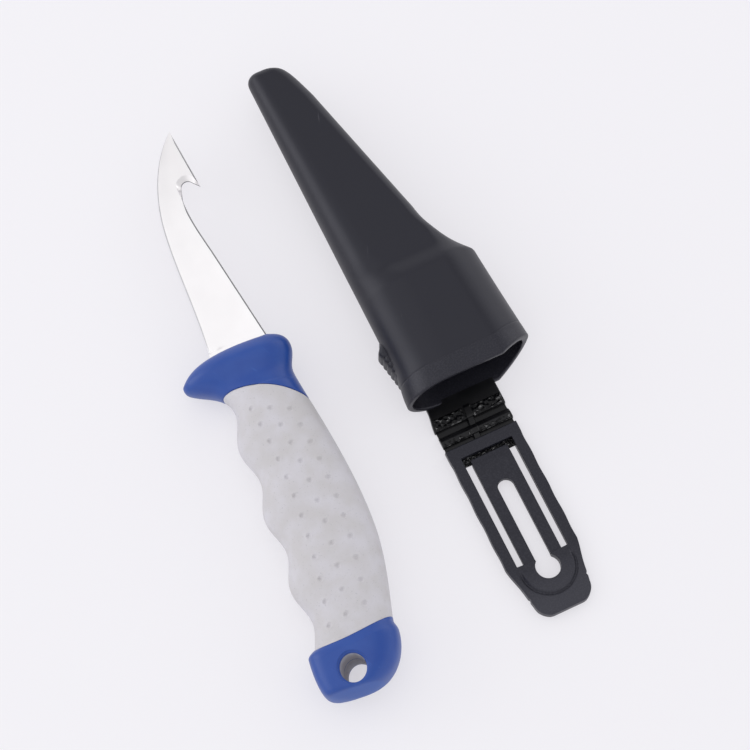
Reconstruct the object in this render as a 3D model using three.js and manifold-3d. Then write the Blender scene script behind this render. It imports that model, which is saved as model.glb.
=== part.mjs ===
import * as THREE from "three";
import { mergeVertices } from "three/addons/utils/BufferGeometryUtils.js";
import Module from "manifold-3d";

// A fishing knife with a gut hook, lying on its side next to its belt sheath. Millimetres, +Z up.
// Knife axes: X from the cutting edge to the spine, Y from the guard to the tip, Z across the flat.
// Sheath axes: X across from its straight side, Y from the mouth to the tip, Z up from the table.

// Blade
const bladeLength = 81.2;
const bladeThickness = 2.0;
const edgeThickness = 0.3;
const heelReach = 9.7;
const spineReach = 10.3;
const bellyReach = 12.5;
const tipOffset = -1.3;
const hookFromTip = 22.4;
const hookReach = 3.3;
const hookRadius = 2.2;
const hookBevel = 1.9;
const grindWidth = 6.6;
const bladeSeat = 4;
const tangLength = 72;
const tangWidth = 11;
const tangHoleRadius = 2.4;

// Handle
const handleLength = 122.7;
const guardFront = 0.2;
const fingerLobe = 21;
const lobeDrop = 8.2;
const backLobe = 16.6;
const guardDepth = 22.5;
const fingerPitch = 24.5;
const fingerDepth = 3.0;
const fingerStart = -8.6;
const fingerSlope = 0.062;
const backReach = 25.2;
const handleThickness = 19.2;
const pommelLength = 18.2;
const pommelFlare = 0.5;
const pommelReach = 22.5;
const gripWall = 3.2;
const lanyardWidth = 8.4;
const lanyardLength = 9.2;
const lanyardFromButt = 7.5;
const lanyardOffset = 6.4;
const linerWall = 1.2;
const linerLip = 1.2;
const fitGap = 0.3;

// Sheath: the throat takes the guard and the front of the grip, the pocket takes the blade.
const sheathWall = 2;
const throatRoom = 1.4;
const mouthRoom = 3.3;
const mouthFlare = 1.5;
const throatDepth = 40.6;
const tipRoom = 7.6;
const shoulderIn = 3.0;
const pocketThickness = 21.6;
const tipThickness = 10.8;
const pocketTop = 30.3;
const pocketEnd = 18.2;
const stepLength = 8;
const lipSlant = 5.6;
const rampReach = 2.2;
const rampTop = 20.6;
const rampLength = 12.2;
const rampLow = 5;
const rampHigh = 15;
const rampTeeth = 6;
const rampToothDepth = 0.45;

// Hanger: a strap with two thin webs, then a frame with a spring tongue and a keyhole.
const strapLeft = 4.5;
const strapWidth = 25.5;
const strapThickness = 2.2;
const strapLength = 8;
const roughStrip = 4;
const roughRise = 0.3;
const webThickness = 0.8;
const firstGroove = 1.9;
const linkBar = 3.8;
const secondGroove = 1.7;
const frameThickness = 3.0;
const frameLength = 63.1;
const topBar = 4.2;
const topSlot = 1.5;
const slotWidth = 2.4;
const tongueWidth = 13.3;
const tongueThickness = 2.4;
const tongueLength = 37.3;
const ledgeReach = 2.7;
const ledgeTop = 0.9;
const tongueLip = 1.6;
const keySlot = 5.5;
const keyRadius = 4.1;
const keySlotTop = 13;
const keyDrop = 3.7;
const padRise = 0.6;
const padRadius = 8.2;
const frameEndHalf = 9.8;
const frameCorner = 5;

// Where the knife lies beside the sheath.
const knifePlace = new THREE.Vector3(-41.5, 43.8, 0);
const knifeTurn = THREE.MathUtils.degToRad(-8.8);
const knifeRoll = THREE.MathUtils.degToRad(9);

// Sizes that follow from those above.
const gripHalf = handleThickness / 2;
const throatHalf = gripHalf + throatRoom + sheathWall;
const mouthWidth = fingerLobe + backLobe + mouthRoom + 2 * sheathWall;
const sheathLength = throatDepth + bladeLength + tipRoom;
const strapCentre = strapLeft + strapWidth / 2;
const butt = guardFront - handleLength;
const pommelTop = butt + pommelLength;
const hookY = bladeLength - hookFromTip;

const wasm = await Module();
wasm.setup();

function solid(geometry) {
  const bare = geometry.clone();
  bare.deleteAttribute("normal");
  bare.deleteAttribute("uv");
  const merged = mergeVertices(bare, 1e-4);
  const mesh = new wasm.Mesh({
    numProp: 3,
    vertProperties: new Float32Array(merged.attributes.position.array),
    triVerts: new Uint32Array(merged.index.array),
  });
  return new wasm.Manifold(mesh);
}

function toGeometry(body) {
  const mesh = body.getMesh();
  const geometry = new THREE.BufferGeometry();
  geometry.setAttribute("position", new THREE.BufferAttribute(mesh.vertProperties, 3));
  geometry.setIndex(new THREE.BufferAttribute(mesh.triVerts, 1));
  const flat = geometry.toNonIndexed();
  flat.computeVertexNormals();
  return flat;
}

// A closed skin through rings of equally many points, with a fan over each end.
function loft(rings) {
  const count = rings[0].length;
  const middle = (ring) => ring.reduce((sum, p) => sum.add(p), new THREE.Vector3()).divideScalar(count);
  const points = rings.flat();
  const first = points.push(middle(rings[0])) - 1;
  const last = points.push(middle(rings.at(-1))) - 1;
  const end = (rings.length - 1) * count;
  const faces = [];
  for (let k = 0; k < count; k += 1) {
    const next = (k + 1) % count;
    faces.push(first, next, k, last, end + k, end + next);
    for (let base = 0; base < end; base += count) {
      const [a, b, c, d] = [base + k, base + next, base + count + next, base + count + k];
      faces.push(a, b, c, a, c, d);
    }
  }
  let volume = 0;
  for (let i = 0; i < faces.length; i += 3) {
    const [a, b, c] = faces.slice(i, i + 3).map((f) => points[f]);
    volume += a.dot(b.clone().cross(c));
  }
  const geometry = new THREE.BufferGeometry().setFromPoints(points);
  geometry.setIndex(volume > 0 ? faces : faces.reverse());
  return solid(geometry);
}

function plate(shape, low, high, segments = 12) {
  const options = { depth: high - low, bevelEnabled: false, curveSegments: segments };
  return solid(new THREE.ExtrudeGeometry(shape, options).translate(0, 0, low));
}

function block(x0, x1, y0, y1, z0, z1) {
  const geometry = new THREE.BoxGeometry(x1 - x0, y1 - y0, z1 - z0);
  return solid(geometry.translate((x0 + x1) / 2, (y0 + y1) / 2, (z0 + z1) / 2));
}

// A round bar along X, for the rolled ends of the flexible webs.
function knuckle(x0, x1, y, z, radius) {
  const geometry = new THREE.CylinderGeometry(radius, radius, x1 - x0, 16).rotateZ(Math.PI / 2);
  return solid(geometry.translate((x0 + x1) / 2, y, z));
}

// An upright post with a round or oval section.
function post(x, y, width, length, low, high, segments = 28) {
  const geometry = new THREE.CylinderGeometry(0.5, 0.5, high - low, segments).rotateX(Math.PI / 2);
  return solid(geometry.scale(width, length, 1).translate(x, y, (low + high) / 2));
}

function mesh(name, body, color, roughness, metalness) {
  const material = new THREE.MeshStandardMaterial({ color, roughness, metalness });
  const piece = new THREE.Mesh(toGeometry(body), material);
  piece.name = name;
  return piece;
}

// The X of an outline at height y, on a path whose Y only runs one way.
function xAt(path, y) {
  const rising = path.getPoint(1).y > path.getPoint(0).y;
  let [low, high] = [0, 1];
  for (let i = 0; i < 40; i += 1) {
    const t = (low + high) / 2;
    const before = rising ? path.getPoint(t).y < y : path.getPoint(t).y > y;
    [low, high] = before ? [t, high] : [low, t];
  }
  return path.getPoint(low).x;
}

// The value at y of a smooth run through [y, value] pairs.
function runAt(pairs, y) {
  const curve = new THREE.SplineCurve(pairs.map(([at, value]) => new THREE.Vector2(value, at)));
  return xAt(curve, y);
}

// Handle outline: the finger side runs over the lobe and waves along the grip, the back side bows.
const neck = guardDepth - 3.9;
const fingerSide = (y) => {
  const s = -guardDepth - y;
  return fingerStart + fingerSlope * s + (fingerDepth / 2) * Math.cos((2 * Math.PI * s) / fingerPitch);
};
const nose = 10;
const lobePath = new THREE.Path();
lobePath.moveTo(nose, guardFront);
lobePath.bezierCurveTo(-5, -0.6, 5 - fingerLobe, -0.6, -fingerLobe, -lobeDrop);
lobePath.quadraticCurveTo(-fingerLobe, -lobeDrop - 1.4, 0.8 - fingerLobe, -lobeDrop - 2.1);
lobePath.bezierCurveTo(4 - fingerLobe, -lobeDrop - 4.4, -11, -lobeDrop - 5.4, fingerSide(-neck), -neck);
const backPath = new THREE.Path();
backPath.moveTo(nose, guardFront);
backPath.bezierCurveTo(14, guardFront, backLobe, -2, backLobe, -5.4);
backPath.bezierCurveTo(backLobe, -8.5, backLobe - 1.9, -10.5, backLobe - 1.8, -13.6);
const backApex = (pommelTop - 14) * 0.63;
backPath.bezierCurveTo(backLobe - 1.6, -19, backReach, backApex + 24, backReach, backApex);
const waist = pommelReach - 0.8;
backPath.bezierCurveTo(backReach, backApex - 11, pommelReach, pommelTop + 8, waist, pommelTop + 1.5);
const pommelLeft = new THREE.Path();
const flareEnd = pommelTop - 3;
pommelLeft.moveTo(fingerSide(pommelTop), pommelTop);
pommelLeft.bezierCurveTo(fingerSide(pommelTop) - 1, pommelTop - 1, -7.1, flareEnd + 1, -7.1, flareEnd);
pommelLeft.bezierCurveTo(-7.1, flareEnd - 4.7, -6.4, butt + 6, -5.4, butt + 3.3);
pommelLeft.bezierCurveTo(-4.5, butt + 1.2, -1, butt, 6, butt);
const pommelRight = new THREE.Path();
pommelRight.moveTo(waist, pommelTop + 1.5);
pommelRight.lineTo(pommelReach, pommelTop - 1.5);
pommelRight.bezierCurveTo(pommelReach, butt + 10, 18, butt, 6, butt);

function handleLeft(y) {
  if (y > -neck) return xAt(lobePath, y);
  return y > pommelTop ? fingerSide(y) : xAt(pommelLeft, y);
}

function handleRight(y) {
  return y > pommelTop + 1.5 ? xAt(backPath, y) : xAt(pommelRight, y);
}

const halfRun = [
  [guardFront, gripHalf - 7],
  [guardFront - 1.5, gripHalf - 4.2],
  [guardFront - 5, gripHalf - 1.7],
  [guardFront - 12, gripHalf - 0.5],
  [-guardDepth, gripHalf - 0.2],
  [(pommelTop - guardDepth) / 2, gripHalf],
  [pommelTop, gripHalf - 0.5],
  [flareEnd, gripHalf + pommelFlare],
  [butt + 6.5, gripHalf + 0.4],
  [butt + 3.4, gripHalf + 0.2],
  [butt + 2.1, gripHalf - 0.5],
  [butt + 1.2, gripHalf - 2.6],
  [butt + 0.4, gripHalf - 5.4],
  [butt, gripHalf - 8],
];

// One superellipse ring across the handle, drawn in by an inset for the core and the inside of the grip.
// The pommel's finger side is squarer than its back.
const ringPoints = 24;
function handleRing(y, inset) {
  const left = handleLeft(y) + inset;
  const right = handleRight(y) - inset;
  const half = runAt(halfRun, y) - inset;
  const inPommel = THREE.MathUtils.smoothstep(-y, -pommelTop, -flareEnd);
  const ring = [];
  for (let k = 0; k < ringPoints; k += 1) {
    const angle = (2 * Math.PI * k) / ringPoints;
    const power = 2.3 + (Math.cos(angle) < 0 ? 1.5 : 0.2) * inPommel;
    const across = Math.sign(Math.cos(angle)) * Math.abs(Math.cos(angle)) ** (2 / power);
    const up = Math.sign(Math.sin(angle)) * Math.abs(Math.sin(angle)) ** (2 / power);
    ring.push(new THREE.Vector3((left + right) / 2 + (across * (right - left)) / 2, y, half * up));
  }
  return ring;
}

// Stations crowd towards the guard's front and the butt, and step evenly along the grip.
const guardSteps = 16;
const gripSteps = 26;
const pommelSteps = 12;
const quarter = (i, count) => 1 - Math.cos((Math.PI / 2) * (i / count));
const guardStations = [];
for (let i = 1; i <= guardSteps; i += 1) {
  guardStations.push(guardFront - (guardFront + guardDepth) * quarter(i, guardSteps));
}
const gripStations = [];
for (let i = 1; i < gripSteps; i += 1) {
  gripStations.push(-guardDepth + ((pommelTop + guardDepth) * i) / gripSteps);
}
const pommelStations = [];
for (let i = pommelSteps; i >= 1; i -= 1) {
  pommelStations.push(butt + pommelLength * quarter(i, pommelSteps));
}
const stations = [...guardStations, ...gripStations, ...pommelStations];
const handleBody = loft(stations.map((y) => handleRing(y, 0)));

// The grip reaches from one curved joint line to the other; a clearance draws both lines apart.
function gripZone(clearance) {
  const shape = new THREE.Shape();
  const wide = 60;
  const front = -guardDepth + clearance;
  const rear = pommelTop - clearance;
  shape.moveTo(-wide, front + 5.9);
  shape.lineTo(-12, front + 5.9);
  shape.quadraticCurveTo(6, front + 8.5, 20, front - 4.5);
  shape.lineTo(wide, front - 4.5);
  shape.lineTo(wide, rear + 4.1);
  shape.lineTo(26, rear + 4.1);
  shape.quadraticCurveTo(8, rear - 3.3, -10, rear - 0.5);
  shape.lineTo(-wide, rear - 0.5);
  return plate(shape, -wide, wide, 10);
}

function coreSkin(inset) {
  const from = -guardDepth + 9;
  const to = pommelTop - 4;
  const rings = [];
  for (let i = 0; i <= gripSteps; i += 1) {
    rings.push(handleRing(from + ((to - from) * i) / gripSteps, inset));
  }
  return loft(rings);
}

// Tang: a tapering tail with two holes that the handle's plastic grips. A clearance gives the cavity for it.
function tang(clearance) {
  const shape = new THREE.Shape();
  const half = tangWidth / 2 + clearance;
  const tail = tangWidth / 2 - 1.5 + clearance;
  const lean = 0.13 * tangLength;
  shape.moveTo(-half, 0);
  shape.lineTo(half, 0);
  shape.lineTo(lean + tail, 1.5 - tangLength - clearance);
  shape.lineTo(lean + tail - 1.5, -tangLength - clearance);
  shape.lineTo(lean - tail + 1.5, -tangLength - clearance);
  shape.lineTo(lean - tail, 1.5 - tangLength - clearance);
  const holeSize = 2 * (tangHoleRadius - clearance);
  const hole = (share) => post(lean * share, -tangLength * share, holeSize, holeSize, -10, 10, 16);
  return plate(shape, -bladeThickness / 2 - clearance, bladeThickness / 2 + clearance)
    .subtract(hole(0.45))
    .subtract(hole(0.8));
}

function bladeRoot(clearance) {
  const half = bladeThickness / 2 + clearance;
  const top = guardFront + 4;
  return block(-heelReach - clearance, spineReach + clearance, -bladeSeat - clearance, top, -half, half);
}

// Blade outline: straight spine that dips to the gut hook, a clipped back and a curved belly.
const notchX = hookReach - 4.2;
const notchY = hookY + 1.1;
function notchPath(path) {
  path.absarc(notchX, notchY, hookRadius, Math.PI, Math.PI / 4, true);
  path.lineTo(hookReach, hookY);
}

const bellyY = bladeLength * 0.59;
const heel = new THREE.Vector2(-heelReach, -bladeSeat);
const belly = new THREE.Vector2(-bellyReach, bellyY);
const tip = new THREE.Vector2(tipOffset, bladeLength);
const edgePath = new THREE.Path();
edgePath.moveTo(heel.x, heel.y);
edgePath.bezierCurveTo(heel.x - 0.3, bellyY * 0.35, belly.x - 0.1, bellyY * 0.7, belly.x, belly.y);
edgePath.bezierCurveTo(belly.x + 0.1, bellyY + 13, tip.x - 7.3, bladeLength - 7.6, tip.x, tip.y);
const bladeShape = new THREE.Shape();
bladeShape.curves.push(...edgePath.curves);
bladeShape.currentPoint.copy(tip);
bladeShape.lineTo(hookReach, hookY);
const backOfNotch = new THREE.Path();
backOfNotch.moveTo(notchX - hookRadius, notchY);
notchPath(backOfNotch);
for (const p of backOfNotch.getPoints(10).reverse()) bladeShape.lineTo(p.x, p.y);
bladeShape.lineTo(notchX - hookRadius - 0.5, hookY - 2.6);
bladeShape.bezierCurveTo(notchX - hookRadius + 0.1, hookY - 10.6, -0.6, hookY - 18.1, 1.2, hookY - 24.6);
bladeShape.lineTo(spineReach, 0);
bladeShape.lineTo(spineReach, -bladeSeat);

// The grind line runs above the edge, and the flat between them falls to the edge on both faces.
const grindPath = new THREE.SplineCurve([
  new THREE.Vector2(-heelReach + grindWidth, guardFront + 1.7),
  new THREE.Vector2(-bellyReach + grindWidth + 0.9, bellyY * 0.5),
  new THREE.Vector2(-bellyReach + grindWidth - 0.9, bellyY),
  new THREE.Vector2(tip.x - 4, bladeLength - 18),
  new THREE.Vector2(tip.x - 0.3, bladeLength - 2),
]);
const edgeFrom = (guardFront + 1 + bladeSeat) / (bellyY + bladeSeat) / 2;
function grindCut(side) {
  const rings = [];
  const steps = 14;
  const outward = 1.5;
  for (let i = 0; i <= steps; i += 1) {
    const inner = grindPath.getPoint(i / steps);
    const edge = edgePath.getPoint(edgeFrom + ((1 - edgeFrom) * i) / steps);
    const far = edge.clone().sub(inner);
    const reach = far.length();
    far.setLength(reach + outward).add(inner);
    const fall = (bladeThickness - edgeThickness) / 2;
    const low = bladeThickness / 2 - (fall * (reach + outward)) / reach;
    const high = bladeThickness;
    rings.push([
      new THREE.Vector3(inner.x, inner.y, (side * bladeThickness) / 2),
      new THREE.Vector3(far.x, far.y, side * low),
      new THREE.Vector3(far.x, far.y, side * high),
      new THREE.Vector3(inner.x, inner.y, side * high),
    ]);
  }
  return loft(rings);
}

// The notch is ground from one face, so it widens towards that face.
function hookGrind() {
  const shape = new THREE.Shape();
  shape.moveTo(notchX - hookRadius, notchY);
  notchPath(shape);
  shape.lineTo(hookReach + 4, hookY - 4);
  shape.lineTo(notchX - hookRadius + 1.6, hookY - 4);
  const options = {
    depth: 1,
    bevelEnabled: true,
    bevelThickness: bladeThickness - edgeThickness,
    bevelSize: hookBevel,
    bevelSegments: 1,
    curveSegments: 10,
  };
  return solid(new THREE.ExtrudeGeometry(shape, options).translate(0, 0, bladeThickness / 2));
}

const bladeBody = plate(bladeShape, -bladeThickness / 2, bladeThickness / 2, 16)
  .add(tang(0))
  .subtract(grindCut(1))
  .subtract(grindCut(-1))
  .subtract(hookGrind());

const lanyardY = butt + lanyardFromButt;
const lanyardHole = (grow, half) => {
  return post(lanyardOffset, lanyardY, lanyardWidth + 2 * grow, lanyardLength + 2 * grow, -half, half);
};
const linerHalf = gripHalf - linerLip;
const linerBody = lanyardHole(linerWall, linerHalf).subtract(lanyardHole(0, handleThickness));

const handleCore = handleBody
  .subtract(gripZone(fitGap))
  .add(coreSkin(gripWall))
  .subtract(lanyardHole(0, handleThickness))
  .subtract(lanyardHole(linerWall + fitGap, linerHalf + fitGap))
  .subtract(bladeRoot(fitGap))
  .subtract(tang(fitGap));
const gripBody = handleBody.intersect(gripZone(0)).subtract(coreSkin(gripWall - fitGap));

const knife = new THREE.Group();
knife.add(mesh("blade", bladeBody, 0xe8e8ea, 0.22, 1));
knife.add(mesh("handle_core", handleCore, 0x2b4aa0, 0.5, 0));
knife.add(mesh("grip", gripBody, 0xc3c2c9, 0.8, 0));
knife.add(mesh("lanyard_liner", linerBody, 0xb4b3ba, 0.8, 0));

// Sheath outline: one straight side, one side that narrows at the shoulder and tapers to a round tip.
const roundTip = new THREE.Vector2(5.5, sheathLength);
const tipRun = 16;
const sheathRight = new THREE.Path();
sheathRight.moveTo(mouthWidth, 0);
sheathRight.lineTo(mouthWidth - shoulderIn, throatDepth - 1);
sheathRight.bezierCurveTo(
  mouthWidth - shoulderIn - 3.4,
  throatDepth + 3,
  pocketTop + 1.5,
  throatDepth + 8.9,
  pocketTop,
  throatDepth + 20.4,
);
sheathRight.lineTo(pocketEnd, sheathLength - tipRun);
sheathRight.bezierCurveTo(
  pocketEnd - 3.8,
  sheathLength - 3.9,
  pocketEnd - 3.6,
  sheathLength,
  roundTip.x,
  roundTip.y,
);
const sheathLeft = new THREE.Path();
const leftCorner = 5.8;
sheathLeft.moveTo(-mouthFlare, 0);
sheathLeft.bezierCurveTo(-mouthFlare, 6, 0, 8, 0, 16);
sheathLeft.lineTo(0, sheathLength - leftCorner);
sheathLeft.bezierCurveTo(0, sheathLength - 2, 2, sheathLength, roundTip.x, roundTip.y);

const stepStart = throatDepth - 4;
const stepEnd = stepStart + stepLength;
function sheathHalf(y) {
  const pocket = THREE.MathUtils.mapLinear(y, stepEnd, sheathLength, pocketThickness / 2, tipThickness / 2);
  const body = THREE.MathUtils.lerp(throatHalf, pocket, THREE.MathUtils.smoothstep(y, stepStart, stepEnd));
  const fromTip = Math.min((sheathLength - y) / leftCorner, 1);
  return Math.min(body, throatHalf) * Math.sqrt(1 - 0.93 * (1 - fromTip) ** 2);
}

// One ring across the sheath: rounded straight side, flat faces, and a bevel that runs out to the far edge.
const cornerSteps = 5;
function sheathRing(y, inset) {
  const outer = Math.min(Math.max(y, 0), sheathLength);
  const inPocket = THREE.MathUtils.smoothstep(outer, stepStart, throatDepth + 12);
  const left = xAt(sheathLeft, outer) + inset;
  const right = xAt(sheathRight, outer) - inset * (1.4 - 0.4 * inPocket);
  const half = sheathHalf(outer) - inset;
  const roundLeft = Math.min(THREE.MathUtils.lerp(0.72, 0.9, inPocket) * half, 0.3 * (right - left));
  const bevel = Math.min(THREE.MathUtils.lerp(throatHalf, 4.5, inPocket), 0.4 * (right - left));
  const power = THREE.MathUtils.lerp(1.5, 2, inPocket);
  const top = [];
  for (let i = 0; i <= cornerSteps; i += 1) {
    const angle = ((Math.PI / 2) * i) / cornerSteps;
    top.push([left + roundLeft * (1 - Math.cos(angle)), half * Math.sin(angle)]);
  }
  for (let i = 0; i < cornerSteps; i += 1) {
    const angle = (Math.PI / 2) * (1 - i / cornerSteps);
    const across = Math.cos(angle) ** (2 / power);
    top.push([right - bevel + bevel * across, half * Math.sin(angle) ** (2 / power)]);
  }
  top.push([right, 0]);
  const under = top.slice(1, -1).reverse().map(([x, z]) => [x, -z]);
  return [...top, ...under].map(([x, z]) => new THREE.Vector3(x, y, throatHalf + z));
}

const shoulderSteps = 9;
const taperSteps = 5;
const tipSteps = 7;
const shoulderEnd = throatDepth + 20.4;
function sheathStations(start, end) {
  const list = [start, stepStart * 0.12, stepStart * 0.27, stepStart * 0.45, stepStart];
  for (let i = 1; i <= shoulderSteps; i += 1) {
    list.push(stepStart + ((shoulderEnd - stepStart) * i) / shoulderSteps);
  }
  for (let i = 1; i <= taperSteps; i += 1) {
    list.push(shoulderEnd + ((sheathLength - tipRun - shoulderEnd) * i) / taperSteps);
  }
  for (let i = 1; i <= tipSteps; i += 1) {
    const tipStart = sheathLength - tipRun;
    list.push(tipStart + (end - tipStart) * Math.sin((Math.PI / 2) * (i / tipSteps)));
  }
  return list;
}

// Thumb ramp on the straight side, with ribs across it.
function thumbRamp() {
  const shape = new THREE.Shape();
  const inner = sheathWall + 2;
  const foot = rampTop - rampLength;
  shape.moveTo(inner, rampTop + 4);
  shape.lineTo(0, rampTop + 4);
  shape.lineTo(-rampReach, rampTop);
  for (let i = 0; i < rampTeeth; i += 1) {
    const ridge = (i + 0.5) / rampTeeth;
    const valley = (i + 1) / rampTeeth;
    const lean = (share) => -rampReach * (1 - share);
    shape.lineTo(lean(ridge) + rampToothDepth, rampTop - rampLength * ridge);
    shape.lineTo(lean(valley), rampTop - rampLength * valley);
  }
  shape.lineTo(inner, foot - 1);
  return plate(shape, rampLow, rampHigh);
}

function lipCut() {
  const shape = new THREE.Shape();
  const flat = mouthWidth - throatHalf;
  shape.moveTo(flat, 0);
  shape.lineTo(flat, -5);
  shape.lineTo(mouthWidth + 5, -5);
  shape.lineTo(mouthWidth + 5, lipSlant * (1 + 5 / throatHalf));
  return plate(shape, -5, 2 * throatHalf + 5);
}

// Along the strap from the mouth: a strip with a rough band, two thin webs with a bar between, the frame.
const strapRight = strapLeft + strapWidth;
const webAxisZ = webThickness / 2;
const firstAxis = -strapLength - firstGroove / 2;
const linkTop = -strapLength - firstGroove;
const linkEnd = linkTop - linkBar;
const secondAxis = linkEnd - secondGroove / 2;
const frameTop = linkEnd - secondGroove;
const knuckleRadius = webThickness / 2;

const strap = block(strapLeft, strapRight, -strapLength, sheathWall, 0, strapThickness)
  .add(block(strapLeft, strapRight, -strapLength, roughStrip - strapLength, 0, strapThickness + roughRise))
  .add(block(strapLeft, strapRight, firstAxis + knuckleRadius + fitGap, -strapLength + 1, 0, webThickness));
const cavityEnd = sheathLength - sheathWall - 1;
const cavity = loft([
  ...sheathStations(0, cavityEnd).map((y) => sheathRing(y, sheathWall)).reverse(),
  sheathRing(-2, sheathWall),
]);
const mouthOpening = cavity.subtract(block(strapLeft, strapRight, -5, 0, -1, strapThickness + roughRise));
const sheathBody = loft(sheathStations(0, sheathLength - 0.05).map((y) => sheathRing(y, 0)))
  .add(thumbRamp())
  .add(strap)
  .subtract(mouthOpening)
  .subtract(lipCut().subtract(block(strapLeft, strapRight, -30, 0, -1, strapThickness + roughRise)));

const linkBody = block(strapLeft, strapRight, linkEnd, linkTop, 0, strapThickness)
  .add(block(strapLeft, strapRight, secondAxis, firstAxis, 0, webThickness))
  .add(knuckle(strapLeft, strapRight, firstAxis, webAxisZ, knuckleRadius))
  .add(knuckle(strapLeft, strapRight, secondAxis, webAxisZ, knuckleRadius));

// Hanger frame: a tapered plate, a window for the tongue, and the keyhole's round end on a raised pad.
// A ledge under the top bar stops the tongue's free end, which is cut thinner to lie over it.
const frameEnd = frameTop - frameLength;
const windowTop = frameTop - topBar;
const tongueFree = windowTop - topSlot;
const tongueAxis = tongueFree - tongueLength;
const windowEnd = tongueAxis - tongueThickness / 2 - fitGap;
const keyEnd = windowEnd - keyDrop;
const windowHalf = tongueWidth / 2 + slotWidth;

function frameOutline() {
  const shape = new THREE.Shape();
  const half = strapWidth / 2;
  const corner = frameEnd + frameCorner;
  shape.moveTo(strapCentre - half, frameTop);
  shape.lineTo(strapCentre - half, windowEnd);
  shape.lineTo(strapCentre - frameEndHalf, corner);
  const inset = frameEndHalf - frameCorner;
  shape.absarc(strapCentre - inset, corner, frameCorner, Math.PI, 1.5 * Math.PI, false);
  shape.absarc(strapCentre + inset, corner, frameCorner, 1.5 * Math.PI, 2 * Math.PI, false);
  shape.lineTo(strapCentre + half, windowEnd);
  shape.lineTo(strapCentre + half, frameTop);
  return shape;
}

const disc = (y, radius, low, high) => post(strapCentre, y, 2 * radius, 2 * radius, low, high, 32);

const padTop = frameThickness + padRise;
const bar = (half, y0, y1, low, high) => block(strapCentre - half, strapCentre + half, y0, y1, low, high);
const frameBody = plate(frameOutline(), 0, frameThickness, 6)
  .add(disc(keyEnd, padRadius, 0, padTop))
  .add(bar(padRadius, keyEnd, windowEnd, 0, padTop))
  .subtract(bar(windowHalf, windowEnd, windowTop, -1, padTop + 1))
  .subtract(bar(keySlot / 2, keyEnd, windowEnd + 1, -1, padTop + 1))
  .subtract(disc(keyEnd, keyRadius, -1, padTop + 1))
  .add(bar(windowHalf, windowTop - ledgeReach, windowTop, 0, ledgeTop));

const tongueLow = (frameThickness - tongueThickness) / 2;
const tongueHigh = tongueLow + tongueThickness;
const tongueAxisZ = frameThickness / 2;
function tongueOutline() {
  const shape = new THREE.Shape();
  const half = tongueWidth / 2;
  const slotTop = tongueFree - keySlotTop;
  shape.moveTo(strapCentre - half, tongueAxis);
  shape.lineTo(strapCentre - keySlot / 2, tongueAxis);
  shape.absarc(strapCentre, slotTop, keySlot / 2, Math.PI, 0, true);
  shape.lineTo(strapCentre + keySlot / 2, tongueAxis);
  shape.lineTo(strapCentre + half, tongueAxis);
  shape.lineTo(strapCentre + half, tongueFree);
  shape.lineTo(strapCentre - half, tongueFree);
  return shape;
}

const legRadius = tongueThickness / 2;
const legEnd = (x0, x1) => knuckle(x0, x1, tongueAxis, tongueAxisZ, legRadius);
const tongueBody = plate(tongueOutline(), tongueLow, tongueHigh, 12)
  .add(legEnd(strapCentre - tongueWidth / 2, strapCentre - keySlot / 2))
  .add(legEnd(strapCentre + keySlot / 2, strapCentre + tongueWidth / 2))
  .subtract(bar(tongueWidth, tongueFree - tongueLip, tongueFree + 1, -1, ledgeTop + fitGap));

const sheath = new THREE.Group();
sheath.add(mesh("sheath_body", sheathBody, 0x34343a, 0.45, 0));
sheath.add(mesh("hinge_link", linkBody, 0x34343a, 0.5, 0));
sheath.add(mesh("hanger_frame", frameBody, 0x34343a, 0.5, 0));
sheath.add(mesh("belt_tongue", tongueBody, 0x34343a, 0.5, 0));

// The knife rolls a little towards its cutting edge and rests on the table.
const rolled = new THREE.Group();
rolled.add(knife);
knife.rotation.y = -knifeRoll;
rolled.rotation.z = knifeTurn;
rolled.position.copy(knifePlace);
rolled.position.z -= new THREE.Box3().setFromObject(rolled, true).min.z;

// The origin is the middle of the set, on the table.
const set = new THREE.Group();
set.add(sheath, rolled);
const box = new THREE.Box3().setFromObject(set, true);
const middle = box.getCenter(new THREE.Vector3());
sheath.position.x -= middle.x;
sheath.position.y -= middle.y;
rolled.position.x -= middle.x;
rolled.position.y -= middle.y;

export default set;
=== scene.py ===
import math

import bmesh
import bpy
import numpy as np
from mathutils import Matrix, Vector


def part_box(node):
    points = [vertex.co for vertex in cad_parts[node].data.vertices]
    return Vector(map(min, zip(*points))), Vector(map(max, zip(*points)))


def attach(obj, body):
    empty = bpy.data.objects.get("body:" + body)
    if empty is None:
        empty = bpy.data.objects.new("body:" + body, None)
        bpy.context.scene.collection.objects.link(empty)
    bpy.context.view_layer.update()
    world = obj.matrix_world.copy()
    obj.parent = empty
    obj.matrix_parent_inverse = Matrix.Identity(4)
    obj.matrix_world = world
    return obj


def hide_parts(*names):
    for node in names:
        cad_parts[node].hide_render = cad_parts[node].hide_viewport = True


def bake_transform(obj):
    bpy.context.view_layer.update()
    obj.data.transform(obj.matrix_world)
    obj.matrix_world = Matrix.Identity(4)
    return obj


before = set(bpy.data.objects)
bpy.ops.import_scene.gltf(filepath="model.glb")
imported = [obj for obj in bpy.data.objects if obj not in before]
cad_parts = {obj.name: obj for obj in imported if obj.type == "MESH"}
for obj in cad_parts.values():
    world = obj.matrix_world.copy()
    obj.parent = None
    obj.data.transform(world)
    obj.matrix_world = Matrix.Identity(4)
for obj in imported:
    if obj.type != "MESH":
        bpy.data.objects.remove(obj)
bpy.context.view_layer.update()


# Sheath shell: one thin injection moulding in black polypropylene. A deep oval throat
# holds the guard by friction, steps down to a flatter pocket for the blade, and the
# mouth's rim is cut back at a slant on the side of the blade's spine.
MM = 1000.0
SHEATH_LENGTH = 129.4
SHEATH_WALL = 2.0
THROAT_HALF = 13.0
HANGER_CENTRE = 17.25
STEP_START = 36.6
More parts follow.
